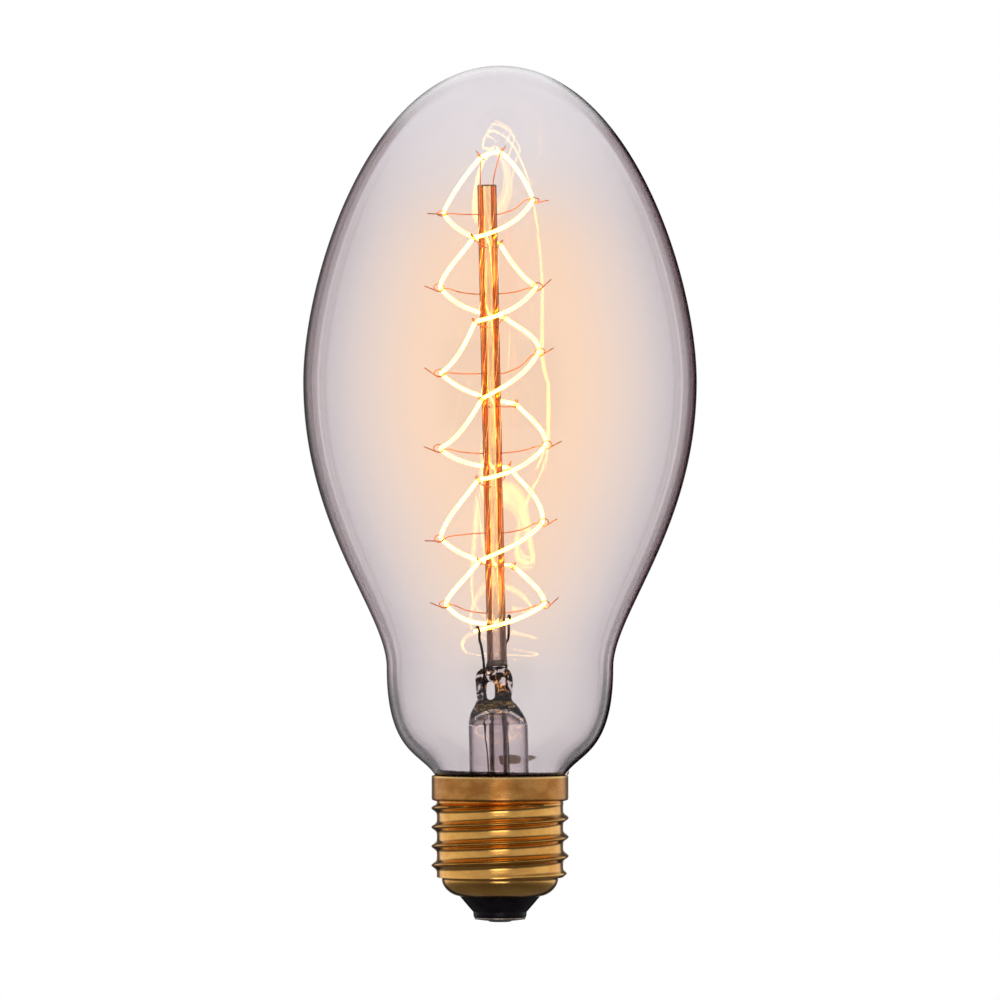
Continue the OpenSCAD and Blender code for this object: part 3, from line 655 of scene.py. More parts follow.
def stem_glass_finish():
    """Glass of the flare and the exhaust tube: grey lavender, its outer faces with painted shade in dark
    violet towards their edges.
    """
    finish, tree, surface = new_finish("stem_glass")
    facing = edge_on(tree)
    apart = from_stem_axis(tree, *measured(tree))
    # Both ramps darken the glass by how squarely it is seen, into dark violet edges and bands: painted
    # shade for the dark it refracts and mirrors.
    flare = ramp(tree, facing, (0.0, 237, 230, 232), (0.25, 229, 221, 224), (0.40, 216, 206, 210),
                 (0.50, 190, 176, 182), (0.56, 140, 124, 130), (0.64, 92, 76, 82), (0.74, 46, 33, 38),
                 (0.85, 18, 10, 13), (1.0, 8, 4, 6))
    tube = ramp(tree, facing, (0.0, 236, 230, 233), (0.09, 230, 223, 226), (0.13, 160, 146, 152),
                (0.18, 76, 60, 66), (0.25, 50, 36, 42), (0.38, 74, 58, 64), (0.50, 112, 96, 102),
                (0.78, 130, 114, 120), (1.0, 80, 66, 72))
    beyond_tube = span(tree, apart, 2.4, 3.2)
    either = blend(tree, beyond_tube, tube, flare)
    streaks = times(tree, patchy(tree, 220.0, 1500.0, 0.25)[0], 0.3)
    streaked = blend(tree, streaks, either, tone(222, 216, 220), "MULTIPLY")
    outer_face = blend(tree, beyond_tube, span(tree, apart, 1.2, 1.5), span(tree, apart, 5.05, 5.35))
    tinted = blend(tree, outer_face, WHITE, streaked)
    make_glass(tree, surface, through_solid(tree, tinted), 1.3, (0.85, 0.82, 0.85))
    return finish


def post_glass_finish():
    """Glass post with the filament's light painted on it: amber bands, and gold streaks that glow."""
    finish, tree, surface = new_finish("post_glass")
    facing = edge_on(tree)
    x, y, height = measured(tree)
    # Painted light: amber and dark bands by how squarely the post is seen, on the part that the filament
    # lights.
    bands = ramp(tree, facing, (0.0, 252, 224, 196), (0.05, 252, 218, 180), (0.075, 250, 150, 40),
                 (0.12, 104, 36, 0), (0.20, 224, 112, 4), (0.32, 140, 56, 0), (0.46, 236, 134, 14),
                 (0.60, 104, 42, 0), (1.0, 50, 20, 0))
    # Below the lit part this grey ramp darkens the outline: painted shade.
    grey = ramp(tree, facing, (0.0, 230, 212, 206), (0.05, 216, 196, 188), (0.09, 120, 84, 66),
                (0.30, 84, 52, 40), (1.0, 16, 8, 8))
    lit = span(tree, height, 56.0, 66.0)
    colour = blend(tree, lit, grey, bands)
    ends = calc(tree, "MAXIMUM", span(tree, height, PRESS_TOP_Z + 1.6, PRESS_TOP_Z + 1.1),
                span(tree, height, POST_TOP_Z - 0.5, POST_TOP_Z - 0.2))
    colour = blend(tree, times(tree, ends, 0.85), colour, tone(40, 22, 14))
    outside_bore = span(tree, from_stem_axis(tree, x, y, height), 0.8, 1.2)
    colour = blend(tree, outside_bore, WHITE, colour)
    # Painted light: gold streaks in patches that glow, beside the outline of the lit part.
    bright = ramp(tree, patchy(tree, 1100.0, 4000.0, 0.10)[0], (0.0, 0.0), (0.54, 0.0), (0.68, 0.35),
                  (0.84, 1.4), (1.0, 2.4))
    beside = ramp(tree, facing, (0.0, 0.35), (0.04, 0.2), (0.07, 1.0), (0.2, 0.4), (0.4, 0.1), (0.5, 0.2),
                  (0.7, 0.0), (1.0, 0.0))
    gold = tint(tree, tint(tree, bright, beside), (1.0, 0.55, 0.12, 1))
    gold = tint(tree, gold, times(tree, lit, outside_bore))
    feed(tree, surface, Emission_Color=gold, Emission_Strength=1.0)
    make_glass(tree, surface, through_solid(tree, colour), 1.5, (0.7, 0.6, 0.5))
    return finish


def press_glass_finish():
    """Pinched glass: black swirls and folds of painted shade over a clear foot, with a few painted warm
    glints that glow.
    """
    finish, tree, surface = new_finish("press_glass")
    facing = edge_on(tree)
    x, _, height = measured(tree)
    # Both ramps darken the glass towards its outline: painted shade.
    dark = ramp(tree, facing, (0.0, 44, 32, 29), (0.3, 20, 13, 13), (1.0, 3, 1, 2))
    light = ramp(tree, facing, (0.0, 236, 228, 228), (0.4, 208, 198, 200), (0.62, 96, 80, 84),
                 (1.0, 14, 8, 12))
    beside = beside_stem_axis(tree, x, height)
    arch = sloped(tree, calc(tree, "POWER", beside, 2.0), -0.09, FLARE_TOP_Z + 3.2)
    above = calc(tree, "SUBTRACT", height, arch)
    foot = span(tree, above, 0.25, -0.25)
    painted_fold_shade = times(tree, span(tree, above, -0.2, 0.2), span(tree, above, 2.4, 1.2))
    # Painted shade: dark swirls, and a dark fold above the foot's arch, for what the pinched glass
    # refracts.
    painted_swirl_shade = span(tree, noise_on(tree, 330.0, Detail=3.0, Distortion=2.6), 0.53, 0.62)
    body = blend(tree, painted_swirl_shade, dark, light)
    body = blend(tree, times(tree, painted_fold_shade, 0.8), body, dark)
    body = blend(tree, foot, body, light)
    # Painted light: warm glints that glow, in spots round the port.
    warm = ramp(tree, noise_on(tree, 800.0, Detail=2.0, Distortion=1.4), (0.0, 0.0), (0.60, 0.0),
                (0.68, 1.0), (1.0, 1.0))
    round_port = times(tree, span(tree, height, PRESS_TOP_Z - 5.8, PRESS_TOP_Z - 4.8),
                       span(tree, height, PRESS_TOP_Z - 0.8, PRESS_TOP_Z - 1.4),
                       span(tree, calc(tree, "ABSOLUTE", beside), 2.6, 1.8))
    glints = tint(tree, tint(tree, warm, round_port), (1.0, 0.4, 0.06, 1))
    feed(tree, surface, Emission_Color=glints, Emission_Strength=0.8)
    make_glass(tree, surface, through_solid(tree, body), 1.22, (0.5, 0.45, 0.45))
    return finish


# Filament, metals, insulator and cement

def filament_finish():
    """Coil that is white-hot inside and yellow on its outer side, less bright in places."""
    finish, tree, surface = new_finish("filament")
    shape = put(tree, "ShaderNodeNewGeometry").outputs
    away = vector_calc(tree, "DOT_PRODUCT", shape["True Normal"], shape["Normal"], output="Value")
    heat = blend(tree, span(tree, away, -0.6, -0.3), (1.0, 0.7, 0.45, 1), (0.34, 0.19, 0.011, 1))
    uneven = blend(tree, patchy(tree, 120.0, 900.0)[0], (0.8, 0.74, 0.6, 1), WHITE)
    feed(tree, surface, Base_Color=(0.02, 0.02, 0.02, 1), Roughness=0.6, Emission_Strength=60.0,
         Emission_Color=tint(tree, heat, uneven))
    finish.cycles.emission_sampling = "NONE"
    return finish


def metal_finish(name, light, dark, roughness, patch_scale=600.0, shine=1.0):
    """Worked metal: two tones in patches, fine grain in its polish."""
    finish, tree, surface = new_finish(name)
    patches, grain = patchy(tree, patch_scale, patch_scale * 6)
    feed(tree, surface, Base_Color=blend(tree, patches, tone(*dark), tone(*light)), Metallic=shine,
         Roughness=sloped(tree, grain, 0.25, roughness - 0.1))
    dent(tree, surface, grain, 0.3, 0.00002)
    return finish


def cap_brass_finish():
    """Aged brass sheet: tan gold in the roots, brown on the crests and the collar, and a painted highlight
    along the rim.
    """
    finish, tree, surface = new_finish("cap_brass")
    x, y, height = measured(tree)
    radius = times(tree, calc(tree, "SQRT", squares(tree, x, y)), 1000.0)
    patches, grain = patchy(tree, 260.0, 2600.0, 1.6)
    collar = span(tree, height, COLLAR_Z - 0.2, COLLAR_Z + 0.2)
    crest = span(tree, radius, ROOT_R + 0.15, CREST_R - 0.15)
    # The crests, away from the collar, take a darker brown.
    on_crests = times(tree, crest, calc(tree, "SUBTRACT", 1.0, collar))
    sheet = blend(tree, patches, tone(222, 162, 84), tone(240, 184, 102))
    ridge = blend(tree, patches, tone(186, 126, 56), tone(212, 156, 78))
    band = blend(tree, patches, tone(170, 112, 56), tone(200, 144, 80))
    body = blend(tree, collar, blend(tree, on_crests, sheet, ridge), band)
    # Painted highlight: a pale band along the rounded top of the rim.
    body = blend(tree, span(tree, height, RIM_Z - 0.55, RIM_Z - 0.25), body, tone(236, 196, 130))
    rough = sloped(tree, collar, 0.10, sloped(tree, patches, -0.05, 0.16))
    feed(tree, surface, Base_Color=body, Metallic=1.0, Roughness=sloped(tree, grain, 0.08, rough))
    dent(tree, surface, grain, 0.25, 0.00004)
    return finish


def black_insulator_finish():
    finish, tree, surface = new_finish("black_insulator")
    patches, grain = patchy(tree, 500.0, 2500.0)
    colour = blend(tree, patches, (0.003, 0.002, 0.003, 1), (0.007, 0.005, 0.007, 1))
    feed(tree, surface, Base_Color=colour, IOR=1.25, Specular_IOR_Level=0.3,
         Roughness=sloped(tree, grain, 0.2, 0.18))
    dent(tree, surface, patches, 0.3, 0.00005)
    return finish


def cement_finish():
    finish, tree, surface = new_finish("cement")
    patches, grain = patchy(tree, 900.0, 5000.0)
    colour = blend(tree, patches, tone(92, 76, 60), tone(140, 120, 96))
    feed(tree, surface, Base_Color=colour, Roughness=0.9)
    dent(tree, surface, grain, 0.6, 0.0001)
    return finish


bulb_glass = bulb_glass_finish()
stem_glass = stem_glass_finish()
post_glass = post_glass_finish()
press_glass = press_glass_finish()
hot_filament = filament_finish()
cap_brass = cap_brass_finish()
black_insulator = black_insulator_finish()
cement = cement_finish()
support_copper = metal_finish("support_wire", (224, 130, 52), (180, 98, 36), 0.4, shine=0.3)
lead_nickel = metal_finish("nickel_wire", (46, 32, 28), (22, 14, 12), 0.4)
seal_copper = metal_finish("seal_wire", (64, 36, 30), (36, 20, 18), 0.4)
lead_copper = metal_finish("copper_wire", (84, 56, 44), (48, 30, 24), 0.35)
contact_metal = metal_finish("contact_metal", (178, 166, 156), (120, 108, 100), 0.35, 900.0)
solder_grey = metal_finish("solder", (188, 184, 182), (140, 134, 132), 0.3, 1200.0)
solder_gold = metal_finish("rim_solder", (206, 150, 84), (140, 88, 44), 0.35, 1400.0)


# The blown bulb. The runs say how far each curve keeps its direction before it bends.

CROWN_RUN = 0.66 * BULB_R
SHOULDER_RUN = 19.8
BELLY_RUN = 27.9
WAIST_RUN = 10.4
NECK_RUN = 0.8 * WAIST_HEIGHT

mouth_run = Vector((math.sin(MOUTH_SPREAD), math.cos(MOUTH_SPREAD)))
mouth = Vector((MOUTH_R, RIM_Z))
glass_line = corners((0, CROWN_Z))
bend(glass_line, (CROWN_RUN, CROWN_Z), (BULB_R, WIDEST_Z + SHOULDER_RUN), (BULB_R, WIDEST_Z), 64)
bend(glass_line, (BULB_R, WIDEST_Z - BELLY_RUN), (WAIST_R, WAIST_Z + WAIST_RUN), (WAIST_R, WAIST_Z), 56)
bend(glass_line, (WAIST_R, WAIST_Z - NECK_RUN), mouth + 5 * mouth_run, mouth, 44)
bend(glass_line, mouth - 0.8 * mouth_run, (NECK_R, THROAT_Z + 1), (NECK_R, THROAT_Z), 12)
seal_row = corners((NECK_R, SEAL_Z), (NECK_R - GLASS_WALL, SEAL_Z))
bulb_outline = glass_line + seal_row + inset(glass_line, GLASS_WALL)[::-1]


def bulb_place(r, z, a):
    """The seal at the neck's lower end is square to the leaning stem."""
    low = 0 if z > SEAL_Z + 0.01 else r * math.cos(a) * math.tan(STEM_LEAN) + 0.01
    return upright(r, z + low, a)


# The stem: flare, exhaust tube, press and post

def stem_flare():
    rim_r = NECK_R - 0.02
    land = NECK_R - GLASS_WALL - 0.2
    bore = FLARE_R - FLARE_WALL
    low = SEAL_Z - FLARE_RIM
    tube = SEAL_Z + TRUMPET_HEIGHT
    inside = bezier((land, low), (FLARE_R + 0.6, low), (bore, SEAL_Z + 1.8), (bore, tube), 20)
    outline = corners((land, low), (rim_r, low), (rim_r, SEAL_Z), (land, SEAL_Z))
    bend(outline, (FLARE_R + 1.5, SEAL_Z), (FLARE_R, SEAL_Z + 2.5), (FLARE_R, tube), 20)
    outline += corners((FLARE_R, FLARE_TOP_Z), (bore, FLARE_TOP_Z)) + inside[::-1]
    return lathe("flare", outline, 144, leaning)


def exhaust_tube():
    top = FLARE_TOP_Z + EXHAUST_SEAT
    tip = EXHAUST_TIP_Z
    outline = corners((EXHAUST_BORE_R, top), (EXHAUST_R, top), (EXHAUST_R, tip + 3.2))
    bend(outline, (EXHAUST_R, tip + 1), (0.8, tip), (0.001, tip), 14)
    outline += corners((0.001, tip + 1.6))
    bend(outline, (0.5, tip + 1.6), (EXHAUST_BORE_R, tip + 2.4), (EXHAUST_BORE_R, tip + 4), 10)
    return lathe("drawn_tube", outline, 72, leaning)


def centre_post():
    top = POST_TOP_Z
    low = PRESS_TOP_Z
    outline = corners((0, low), (POST_R + 0.35, low))
    bend(outline, (POST_R + 0.1, low + 0.5), (POST_R, low + 1), (POST_R, low + 2), 8)
    outline += corners((POST_R, top - 0.12), (POST_R - 0.12, top), (POST_BORE_R + 0.06, top),
                       (POST_BORE_R, top - 0.06), (POST_BORE_R, low + 1.8), (0, low + 1.5))
    return lathe("glass_post", outline, 96, leaning)


def stem_press():
    """The pinched block, softened as glass is by the flame, with shallow tool marks."""
    piece = copy_of("pinched_press", "stem_press", 180)
    grid = piece.modifiers.new("melt", "REMESH")
    grid.mode = "VOXEL"
    grid.voxel_size = 0.15 * MM
    soft = piece.modifiers.new("flow", "SMOOTH")
    soft.factor = 0.5
    soft.iterations = 4
    applied(piece)
    depth = 0.16 * MM
    normals = [vertex.normal.copy() for vertex in piece.data.vertices]
    for vertex, normal in zip(piece.data.vertices, normals):
        swell = noise.noise(vertex.co * 520.0) + 0.5 * noise.noise(vertex.co * 1300.0)
        vertex.co += normal * depth * (swell - 0.6)
    for face in piece.data.polygons:
        face.use_smooth = True
    return piece


settle(lathe("blown_bulb", bulb_outline, 224, bulb_place), "envelope", bulb_glass)
settle(stem_flare(), "stem_flare", stem_glass)
settle(exhaust_tube(), "exhaust_tube", stem_glass)
settle(centre_post(), "centre_post", post_glass)
settle(stem_press(), "stem_press", press_glass)


# The filament cage: places where the filament is held, bent by hand

TURNS = 5
PITCH = (HEAD_Z - FOOT_Z) / TURNS
LEFT_LIFT = (-1.2, -0.2, -1.3, -0.5, -2.4, 0.2)
RIGHT_LIFT = (0.9, -0.4, 2.3, -0.2, 0.2, -0.2)
FRONT_LIFT = (1.4, 0.7, 1.2, 1.0, 0.8)
BACK_LIFT = (0.6, 1.8, 0.2, 3.3, -0.4)
LEFT_REACH = (-0.8, 0.1, 0.4, 0.8, 1.0, 0.3)
RIGHT_REACH = (-0.5, -0.2, 0.0, 1.0, 0.0, 0.0)
FRONT_TURN = (-107, -107, -101, -108, -108)
BACK_TURN = (76, 74, 60, 71, 67)


def side_rings(side, reach, lift):
    return [Vector((side * (CAGE_RADIUS + reach[i]), 0, HEAD_Z - i * PITCH + lift[i]))
            for i in range(TURNS + 1)]


def cross_rings(turn, lift):
    return [upright(CAGE_RADIUS, HEAD_Z - (i + 0.5) * PITCH + lift[i], math.radians(turn[i]))
            for i in range(TURNS)]


left_rings = side_rings(-1, LEFT_REACH, LEFT_LIFT)
right_rings = side_rings(1, RIGHT_REACH, RIGHT_LIFT)
front_rings = cross_rings(FRONT_TURN, FRONT_LIFT)
back_rings = cross_rings(BACK_TURN, BACK_LIFT)
hook_left = Vector((-1.0, 0, HOOK_Z - 0.9))
hook_right = Vector((2.8, 0, HOOK_Z))
lead_end_left = Vector((-3.4, -4.5, FOOT_Z - 4.8))
lead_end_right = Vector((2.5, 4.0, FOOT_Z - 2.9))

held = [lead_end_left]
for i in range(TURNS, 0, -1):
    held += [right_rings[i], back_rings[i - 1]] if i % 2 else [left_rings[i], front_rings[i - 1]]
held += [left_rings[0], hook_left, hook_right]
for i in range(TURNS):
    held += [left_rings[i], back_rings[i]] if i % 2 else [right_rings[i], front_rings[i]]
held += [left_rings[TURNS], lead_end_right]

# Between two places the filament sags and bows outwards by its own share, and arches over the top
SPAN_SHAPE = (
    (0.6, 0.5), (0.3, 1.4), (1.3, 0.8), (0.5, 1.2), (1.4, 0.8), (0.3, 1.4), (1.1, 0.8), (1.6, 0),
    (1.3, 0.8), (1.3, 0.2), (1.3, 0.8), (0, 0), (0, 0), (0, 0), (1.4, 0.8), (0.5, 1.1), (1.3, 0.8),
    (0, 1.8), (1.0, 0.8), (1.5, 0), (1.2, 0.8), (0, 1.7), (0.7, 0.8), (0.6, 1.0), (2.0, 0.8),
)
TOP_ARCH = ((-0.3, 0.35), (0.0, 0.3), (0.45, 0.6))
FIRST_TOP_SPAN = 11
SPAN_STEPS = 24
COIL_END = 0.9
POINTS_PER_TURN = 9


def span_point(i, t):
    p = held[i].lerp(held[i + 1], t)
    arch = 4 * t * (1 - t)
    at_top = i - FIRST_TOP_SPAN
    if 0 <= at_top <= 2:
        return p + arch * Vector((TOP_ARCH[at_top][0], 0, TOP_ARCH[at_top][1]))
    flat = Vector((p.x, p.y, 0))
    out = flat.normalized() if flat.length > 0.5 else Vector((0, 0, 0))
    sag, bow = SPAN_SHAPE[i]
    return p + arch * (bow * SPAN_BOW * out - up(sag * SPAN_SAG))


filament_path = [held[0] + COIL_END * (held[0] - held[1]).normalized()]
for i in range(len(held) - 1):
    filament_path += [span_point(i, k / SPAN_STEPS) for k in range(SPAN_STEPS)]
filament_path += [held[-1], held[-1] + COIL_END * (held[-1] - held[-2]).normalized()]


def held_direction(i):
    return direction_at(filament_path, 1 + i * SPAN_STEPS)


def relaxed(path, rounds):
    """Rounds the corners at the rings as a coil does that can't kink."""
    for _ in range(rounds):
        middle = [(path[i - 1] + 2 * path[i] + path[i + 1]) / 4 for i in range(1, len(path) - 1)]
        path = [path[0]] + middle + [path[-1]]
    return path


coil_path = [leaned(p) for p in relaxed(filament_path, 2)]
coil_length = sum((b - a).length for a, b in zip(coil_path, coil_path[1:]))
coil_sizes = {
    "Coil Radius": (COIL_DIA - FILAMENT_WIRE) / 2 * MM,
    "Wire Thickness": FILAMENT_WIRE * MM,
    "Winding Pitch": WINDING_PITCH * MM,
    "Points": int(coil_length / WINDING_PITCH * POINTS_PER_TURN),
}
windings = grown("spiral_filament", path_mesh("coil_path", coil_path), coiled_filament_tree(),
                 hot_filament, coil_sizes)
# The shading normals point away from the path. They tell the coil's outer side from its inside.
outward = [tuple(mark.vector) for mark in windings.data.attributes["outward"].data]
windings.data.attributes.remove(windings.data.attributes["outward"])
windings.data.normals_split_custom_set_from_vertices(outward)
settle(windings, "filament")


# Support wires: from the post, once round the filament and on

RING_HALF = ((RING_WIDTH + SUPPORT_WIRE) / 2, (RING_BORE + SUPPORT_WIRE) / 2)
RING_PITCH = SUPPORT_WIRE + 0.1
RING_FACE = (0.3, 1.6, 0.8, 1.6, 1.0, 0.8)
RING_START = -130
RING_SWEEP = 440
RING_APPROACH = 0.5
LEFT_TAIL_RISE = (-0.2, 0, 1.1, 0.1, -0.1, 0.1)
RIGHT_TAIL_RISE = (0, 0.9, -0.3, 0.2, 0.3, 1.1)
SIDE_TAIL = 1.9
CROSS_TAIL = 1.3
SIDE_ROOT_DROP = 1.6
CROSS_ROOT_DROP = 0.4
ROOT_DEPTH = 0.9

drawn_wire = drawn_wire_tree()


def drawn(name, node, path, thickness, finish, sides=10):
    piece = grown(name, path_mesh(name + "_path", path), drawn_wire, finish,
                  {"Thickness": thickness * MM, "Sides": sides})
    settle(piece, node)


def hooked_wire(node, path):
    name = "hooked_wire" + node.removeprefix("support")
    drawn(name, node, [leaned(p) for p in path], SUPPORT_WIRE, support_copper)


def looped(start, centre, along, half, first, sweep, shift, tail):
    """Wire that comes from start, turns round the filament at centre and runs on past it.

    Half is the half width and half height of the turn, and tail is the wire's end, outwards and
    upwards from the centre. The first point is where the wire bends before its turn.
    """
    u = square_off(centre - start, along)
    v = along.cross(u)
    if v.z < -0.01:
        v = -v
    aside = shift * sweep / 360 * along
    steps = max(8, int(sweep / 360 * 28))
    turn = []
    for k in range(steps + 1):
        a = math.radians(first + sweep * k / steps)
        around = half[0] * math.cos(a) * u + half[1] * math.sin(a) * v
        turn.append(centre + around + (k / steps - 0.5) * aside)
    before = centre - (half[0] + RING_APPROACH) * u - aside / 2
    return before, turn, centre + tail[0] * u + tail[1] * v + aside / 2


def support(node, ring, height, tail, rise, face):
    out = Vector((ring.x, ring.y, 0)).normalized()
    along = held_direction(held.index(ring))
    axis = (along + Vector((0, math.copysign(face, along.y), 0))).normalized()
    seat = out * (POST_R - ROOT_DEPTH) + up(height)
    leave = out * (POST_R + 0.5) + up(height)
    before, turn, end = looped(leave, ring + RING_SHIFT * out, axis, RING_HALF, RING_START, RING_SWEEP,
                               RING_PITCH, (RING_HALF[0] + tail, rise))
    middle = leave.lerp(before, 0.55) - up(0.2 * (before.z - leave.z))
    hooked_wire(node, smoothed([seat, leave, middle, before, turn[0]], 6)[:-1] + turn + [end])


def top_hook(node, ring, side):
    x = side * (POST_R + POST_BORE_R) / 2
    seat = Vector((x, 0, POST_TOP_Z - 2))
    leave = Vector((x, 0, POST_TOP_Z + 0.5))
    half = RING_HALF[1]
    turn, end = looped(leave, ring, held_direction(held.index(ring)), (half, half), -90, 360, RING_PITCH,
                       (1.5, -half))[1:]
    hooked_wire(node, smoothed([seat, leave, turn[0]], 8)[:-1] + turn + [end])


for i in range(TURNS + 1):
    root = HEAD_Z - i * PITCH - SIDE_ROOT_DROP
    support(f"support_left_{i + 1}", left_rings[i], root, SIDE_TAIL, LEFT_TAIL_RISE[i], RING_FACE[i])
    support(f"support_right_{i + 1}", right_rings[i], root, SIDE_TAIL, RIGHT_TAIL_RISE[i], RING_FACE[i])
for i in range(TURNS):
    root = HEAD_Z - (i + 0.5) * PITCH - CROSS_ROOT_DROP
    support(f"support_front_{i + 1}", front_rings[i], root, CROSS_TAIL, 0, 0)
    support(f"support_back_{i + 1}", back_rings[i], root, CROSS_TAIL, 0, 0)
top_hook("support_top_left", hook_left, -1)
top_hook("support_top_right", hook_right, 1)


# Leads

SEAL_TOP_Z = PRESS_TOP_Z - 0.8
WELD_Z = FLARE_TOP_Z - 1.5
LEAD_LEFT = Vector((-2.5, -0.3, 0))
LEAD_RIGHT = Vector((1.75, 1.5, 0))


def inner_lead(name, node, foot, bends, end, along):
    start = foot + up(SEAL_TOP_Z + 0.05)
    leave = foot + up(PRESS_TOP_Z + 0.6)
    bends = corners(*bends)
    reach = (COIL_DIA + INNER_LEAD_DIA) / 2 + 0.05
    turn, tail = looped(bends[-1], end, along, (reach, reach), -90, 180, 0, (-0.7, reach))[1:]
    path = smoothed([start, leave] + bends + [turn[0]], 8)[:-1] + turn + [tail]
    drawn(name, node, [leaned(p) for p in path], INNER_LEAD_DIA, lead_nickel, 14)


def outer_lead(name, node, foot, inside, below):
    """The lead leans with the stem inside the bulb and stands straight below it."""
    inside = [foot + up(WELD_Z - 0.05), foot + up(WELD_Z - 0.05 - 0.8)] + corners(*inside)
    path = smoothed([leaned(p) for p in inside] + corners(*below), 8)
    drawn(name, node, path, OUTER_LEAD_DIA, lead_copper)


inner_lead("clamped_lead_left", "inner_lead_left", LEAD_LEFT,
           [(-2.9, -2.4, PRESS_TOP_Z + 4), (-3.2, -3.9, lead_end_left.z - 1.8)],
           lead_end_left, held_direction(0))
inner_lead("clamped_lead_right", "inner_lead_right", LEAD_RIGHT,
           [(1.75, 1.8, PRESS_TOP_Z + 4.4), (2.2, 2.2, PRESS_TOP_Z + 5.2),
            (2.4, 3.3, lead_end_right.z - 1.8)],
           lead_end_right, held_direction(len(held) - 1))
for side, foot in (("left", LEAD_LEFT), ("right", LEAD_RIGHT)):
    straight = [leaned(foot + up(z)) for z in (WELD_Z, SEAL_TOP_Z)]
    drawn("sealed_wire_" + side, "seal_wire_" + side, straight, SEAL_WIRE_DIA, seal_copper, 14)

gap_r = NECK_R + (NECK_ROOM + OUTER_LEAD_DIA / 2) / 2 - 0.08
outer_lead("lead_to_contact", "outer_lead_centre", LEAD_LEFT,
           [(-2.3, -0.7, WELD_Z - 2.5), (-2.0, -1.4, SEAL_Z + 9), (-2.2, -1.2, SEAL_Z - 4)],
           [(-1.2, -0.5, EXHAUST_TIP_Z - 1), (0, 0, EYELET_TOP_Z + 0.6), (0, 0, EYELET_TOP_Z - 1),
            (0, 0, CONTACT_HEIGHT + 0.25)])
outer_lead("lead_to_rim", "outer_lead_side", LEAD_RIGHT,
           [(1.9, 1.5, WELD_Z - 2.5), (2.0, 1.6, SEAL_Z + 6), (2.4, 1.4, SEAL_Z)],
           [(4, 1, SEAL_Z - 3.4), (NECK_R - 2, 0.2, SEAL_Z - 3.6), (gap_r, 0, SEAL_Z - 2.4),
            (gap_r, 0, THROAT_Z - 0.4), ((NECK_R + MOUTH_R) / 2 + 0.35, 0, RIM_Z - 1.1),
            (MOUTH_R - 0.1, 0, RIM_Z - 0.55)])


# The screw cap, rolled from brass sheet

CAP_COLUMNS = 208
COLLAR_ROWS = 12
THREAD_ROW = 0.16


def cap_blank():
    """The cap before its thread is rolled: collar, straight wall and bowl of one sheet."""
    edge_z = RIM_Z - 0.35
    wall_z = COLLAR_Z - 0.2
    bowl_r = ROOT_R - 0.95
    bowl_z = THREAD_Z - 0.1
    outline = bezier((COLLAR_R - 0.26, RIM_Z), (COLLAR_R - 0.06, RIM_Z), (COLLAR_R, RIM_Z - 0.1),
                     (COLLAR_R, edge_z), 5)
    step = (COLLAR_HEIGHT - 0.9) / COLLAR_ROWS
    outline += corners(*[(COLLAR_R, edge_z - k * step) for k in range(1, COLLAR_ROWS + 1)])
    bend(outline, (COLLAR_R, COLLAR_Z + 0.15), (COLLAR_R - 0.2, COLLAR_Z + 0.02),
         (COLLAR_R - 0.45, COLLAR_Z), 6)
    rows = int((THREAD_HEIGHT - 0.4) / THREAD_ROW)
    step = (THREAD_HEIGHT - 0.4) / rows
    outline += corners(*[(ROOT_R, wall_z - i * step) for i in range(rows + 1)])
    outline += bezier((ROOT_R - 0.25, THREAD_Z + 0.12), (ROOT_R - 0.5, THREAD_Z + 0.02),
                      (bowl_r + 0.1, THREAD_Z + 0.05), (bowl_r, bowl_z), 5)
    bend(outline, (bowl_r, THREAD_Z - 1.7), (FLOOR_R + 1.6, FLOOR_Z + 0.25), (FLOOR_R, FLOOR_Z), 18)
    lining = [p + CAP_SHEET * (Vector((-1, 0)) if p[1] > THREAD_Z else inwards(outline, i))
              for i, p in enumerate(outline)]
    return lathe("cap_blank", outline + lining[::-1], CAP_COLUMNS, sharp=180)


def cap_shell():
    blank = cap_blank()
    cap = grown("rolled_cap", blank.data, rolled_thread_tree(), cap_brass, {
        "Thread Pitch": THREAD_PITCH * MM,
        "Crest Rise": (CREST_R - ROOT_R) * MM,
        "Crest Sharpness": 3.0,
        "Start Turn": THREAD_TURN,
        "Low End": THREAD_Z * MM,
        "Low Runout": 1.3 * MM,
        "High End": (COLLAR_Z - 0.25) * MM,
        "High Runout": 0.7 * MM,
    })
    bpy.data.objects.remove(blank)
    cap.data.set_sharp_from_angle(angle=math.radians(50))
    return cap


def cap_insulator():
    neck = FLOOR_R - 0.15
    top = THREAD_Z - 0.2
    bore = EYELET_R + 0.05
    low = CONTACT_HEIGHT
    outline = corners((bore, low), (TIP_R - 0.35, low))
    bend(outline, (TIP_R - 0.1, low), (TIP_R - 0.05, low + 0.2), (TIP_R, low + 1.1), 8)
    bend(outline, (TIP_R + 0.5, low + 1.6), (neck - 0.6, FLOOR_Z - 0.7), (neck, FLOOR_Z), 16)
    outline += corners((neck, FLOOR_Z + 0.45), (9.0, FLOOR_Z + 1.1), (10.2, FLOOR_Z + 2.2), (10.6, top),
                       (bore, top))
    return lathe("glass_insulator", outline, 144)


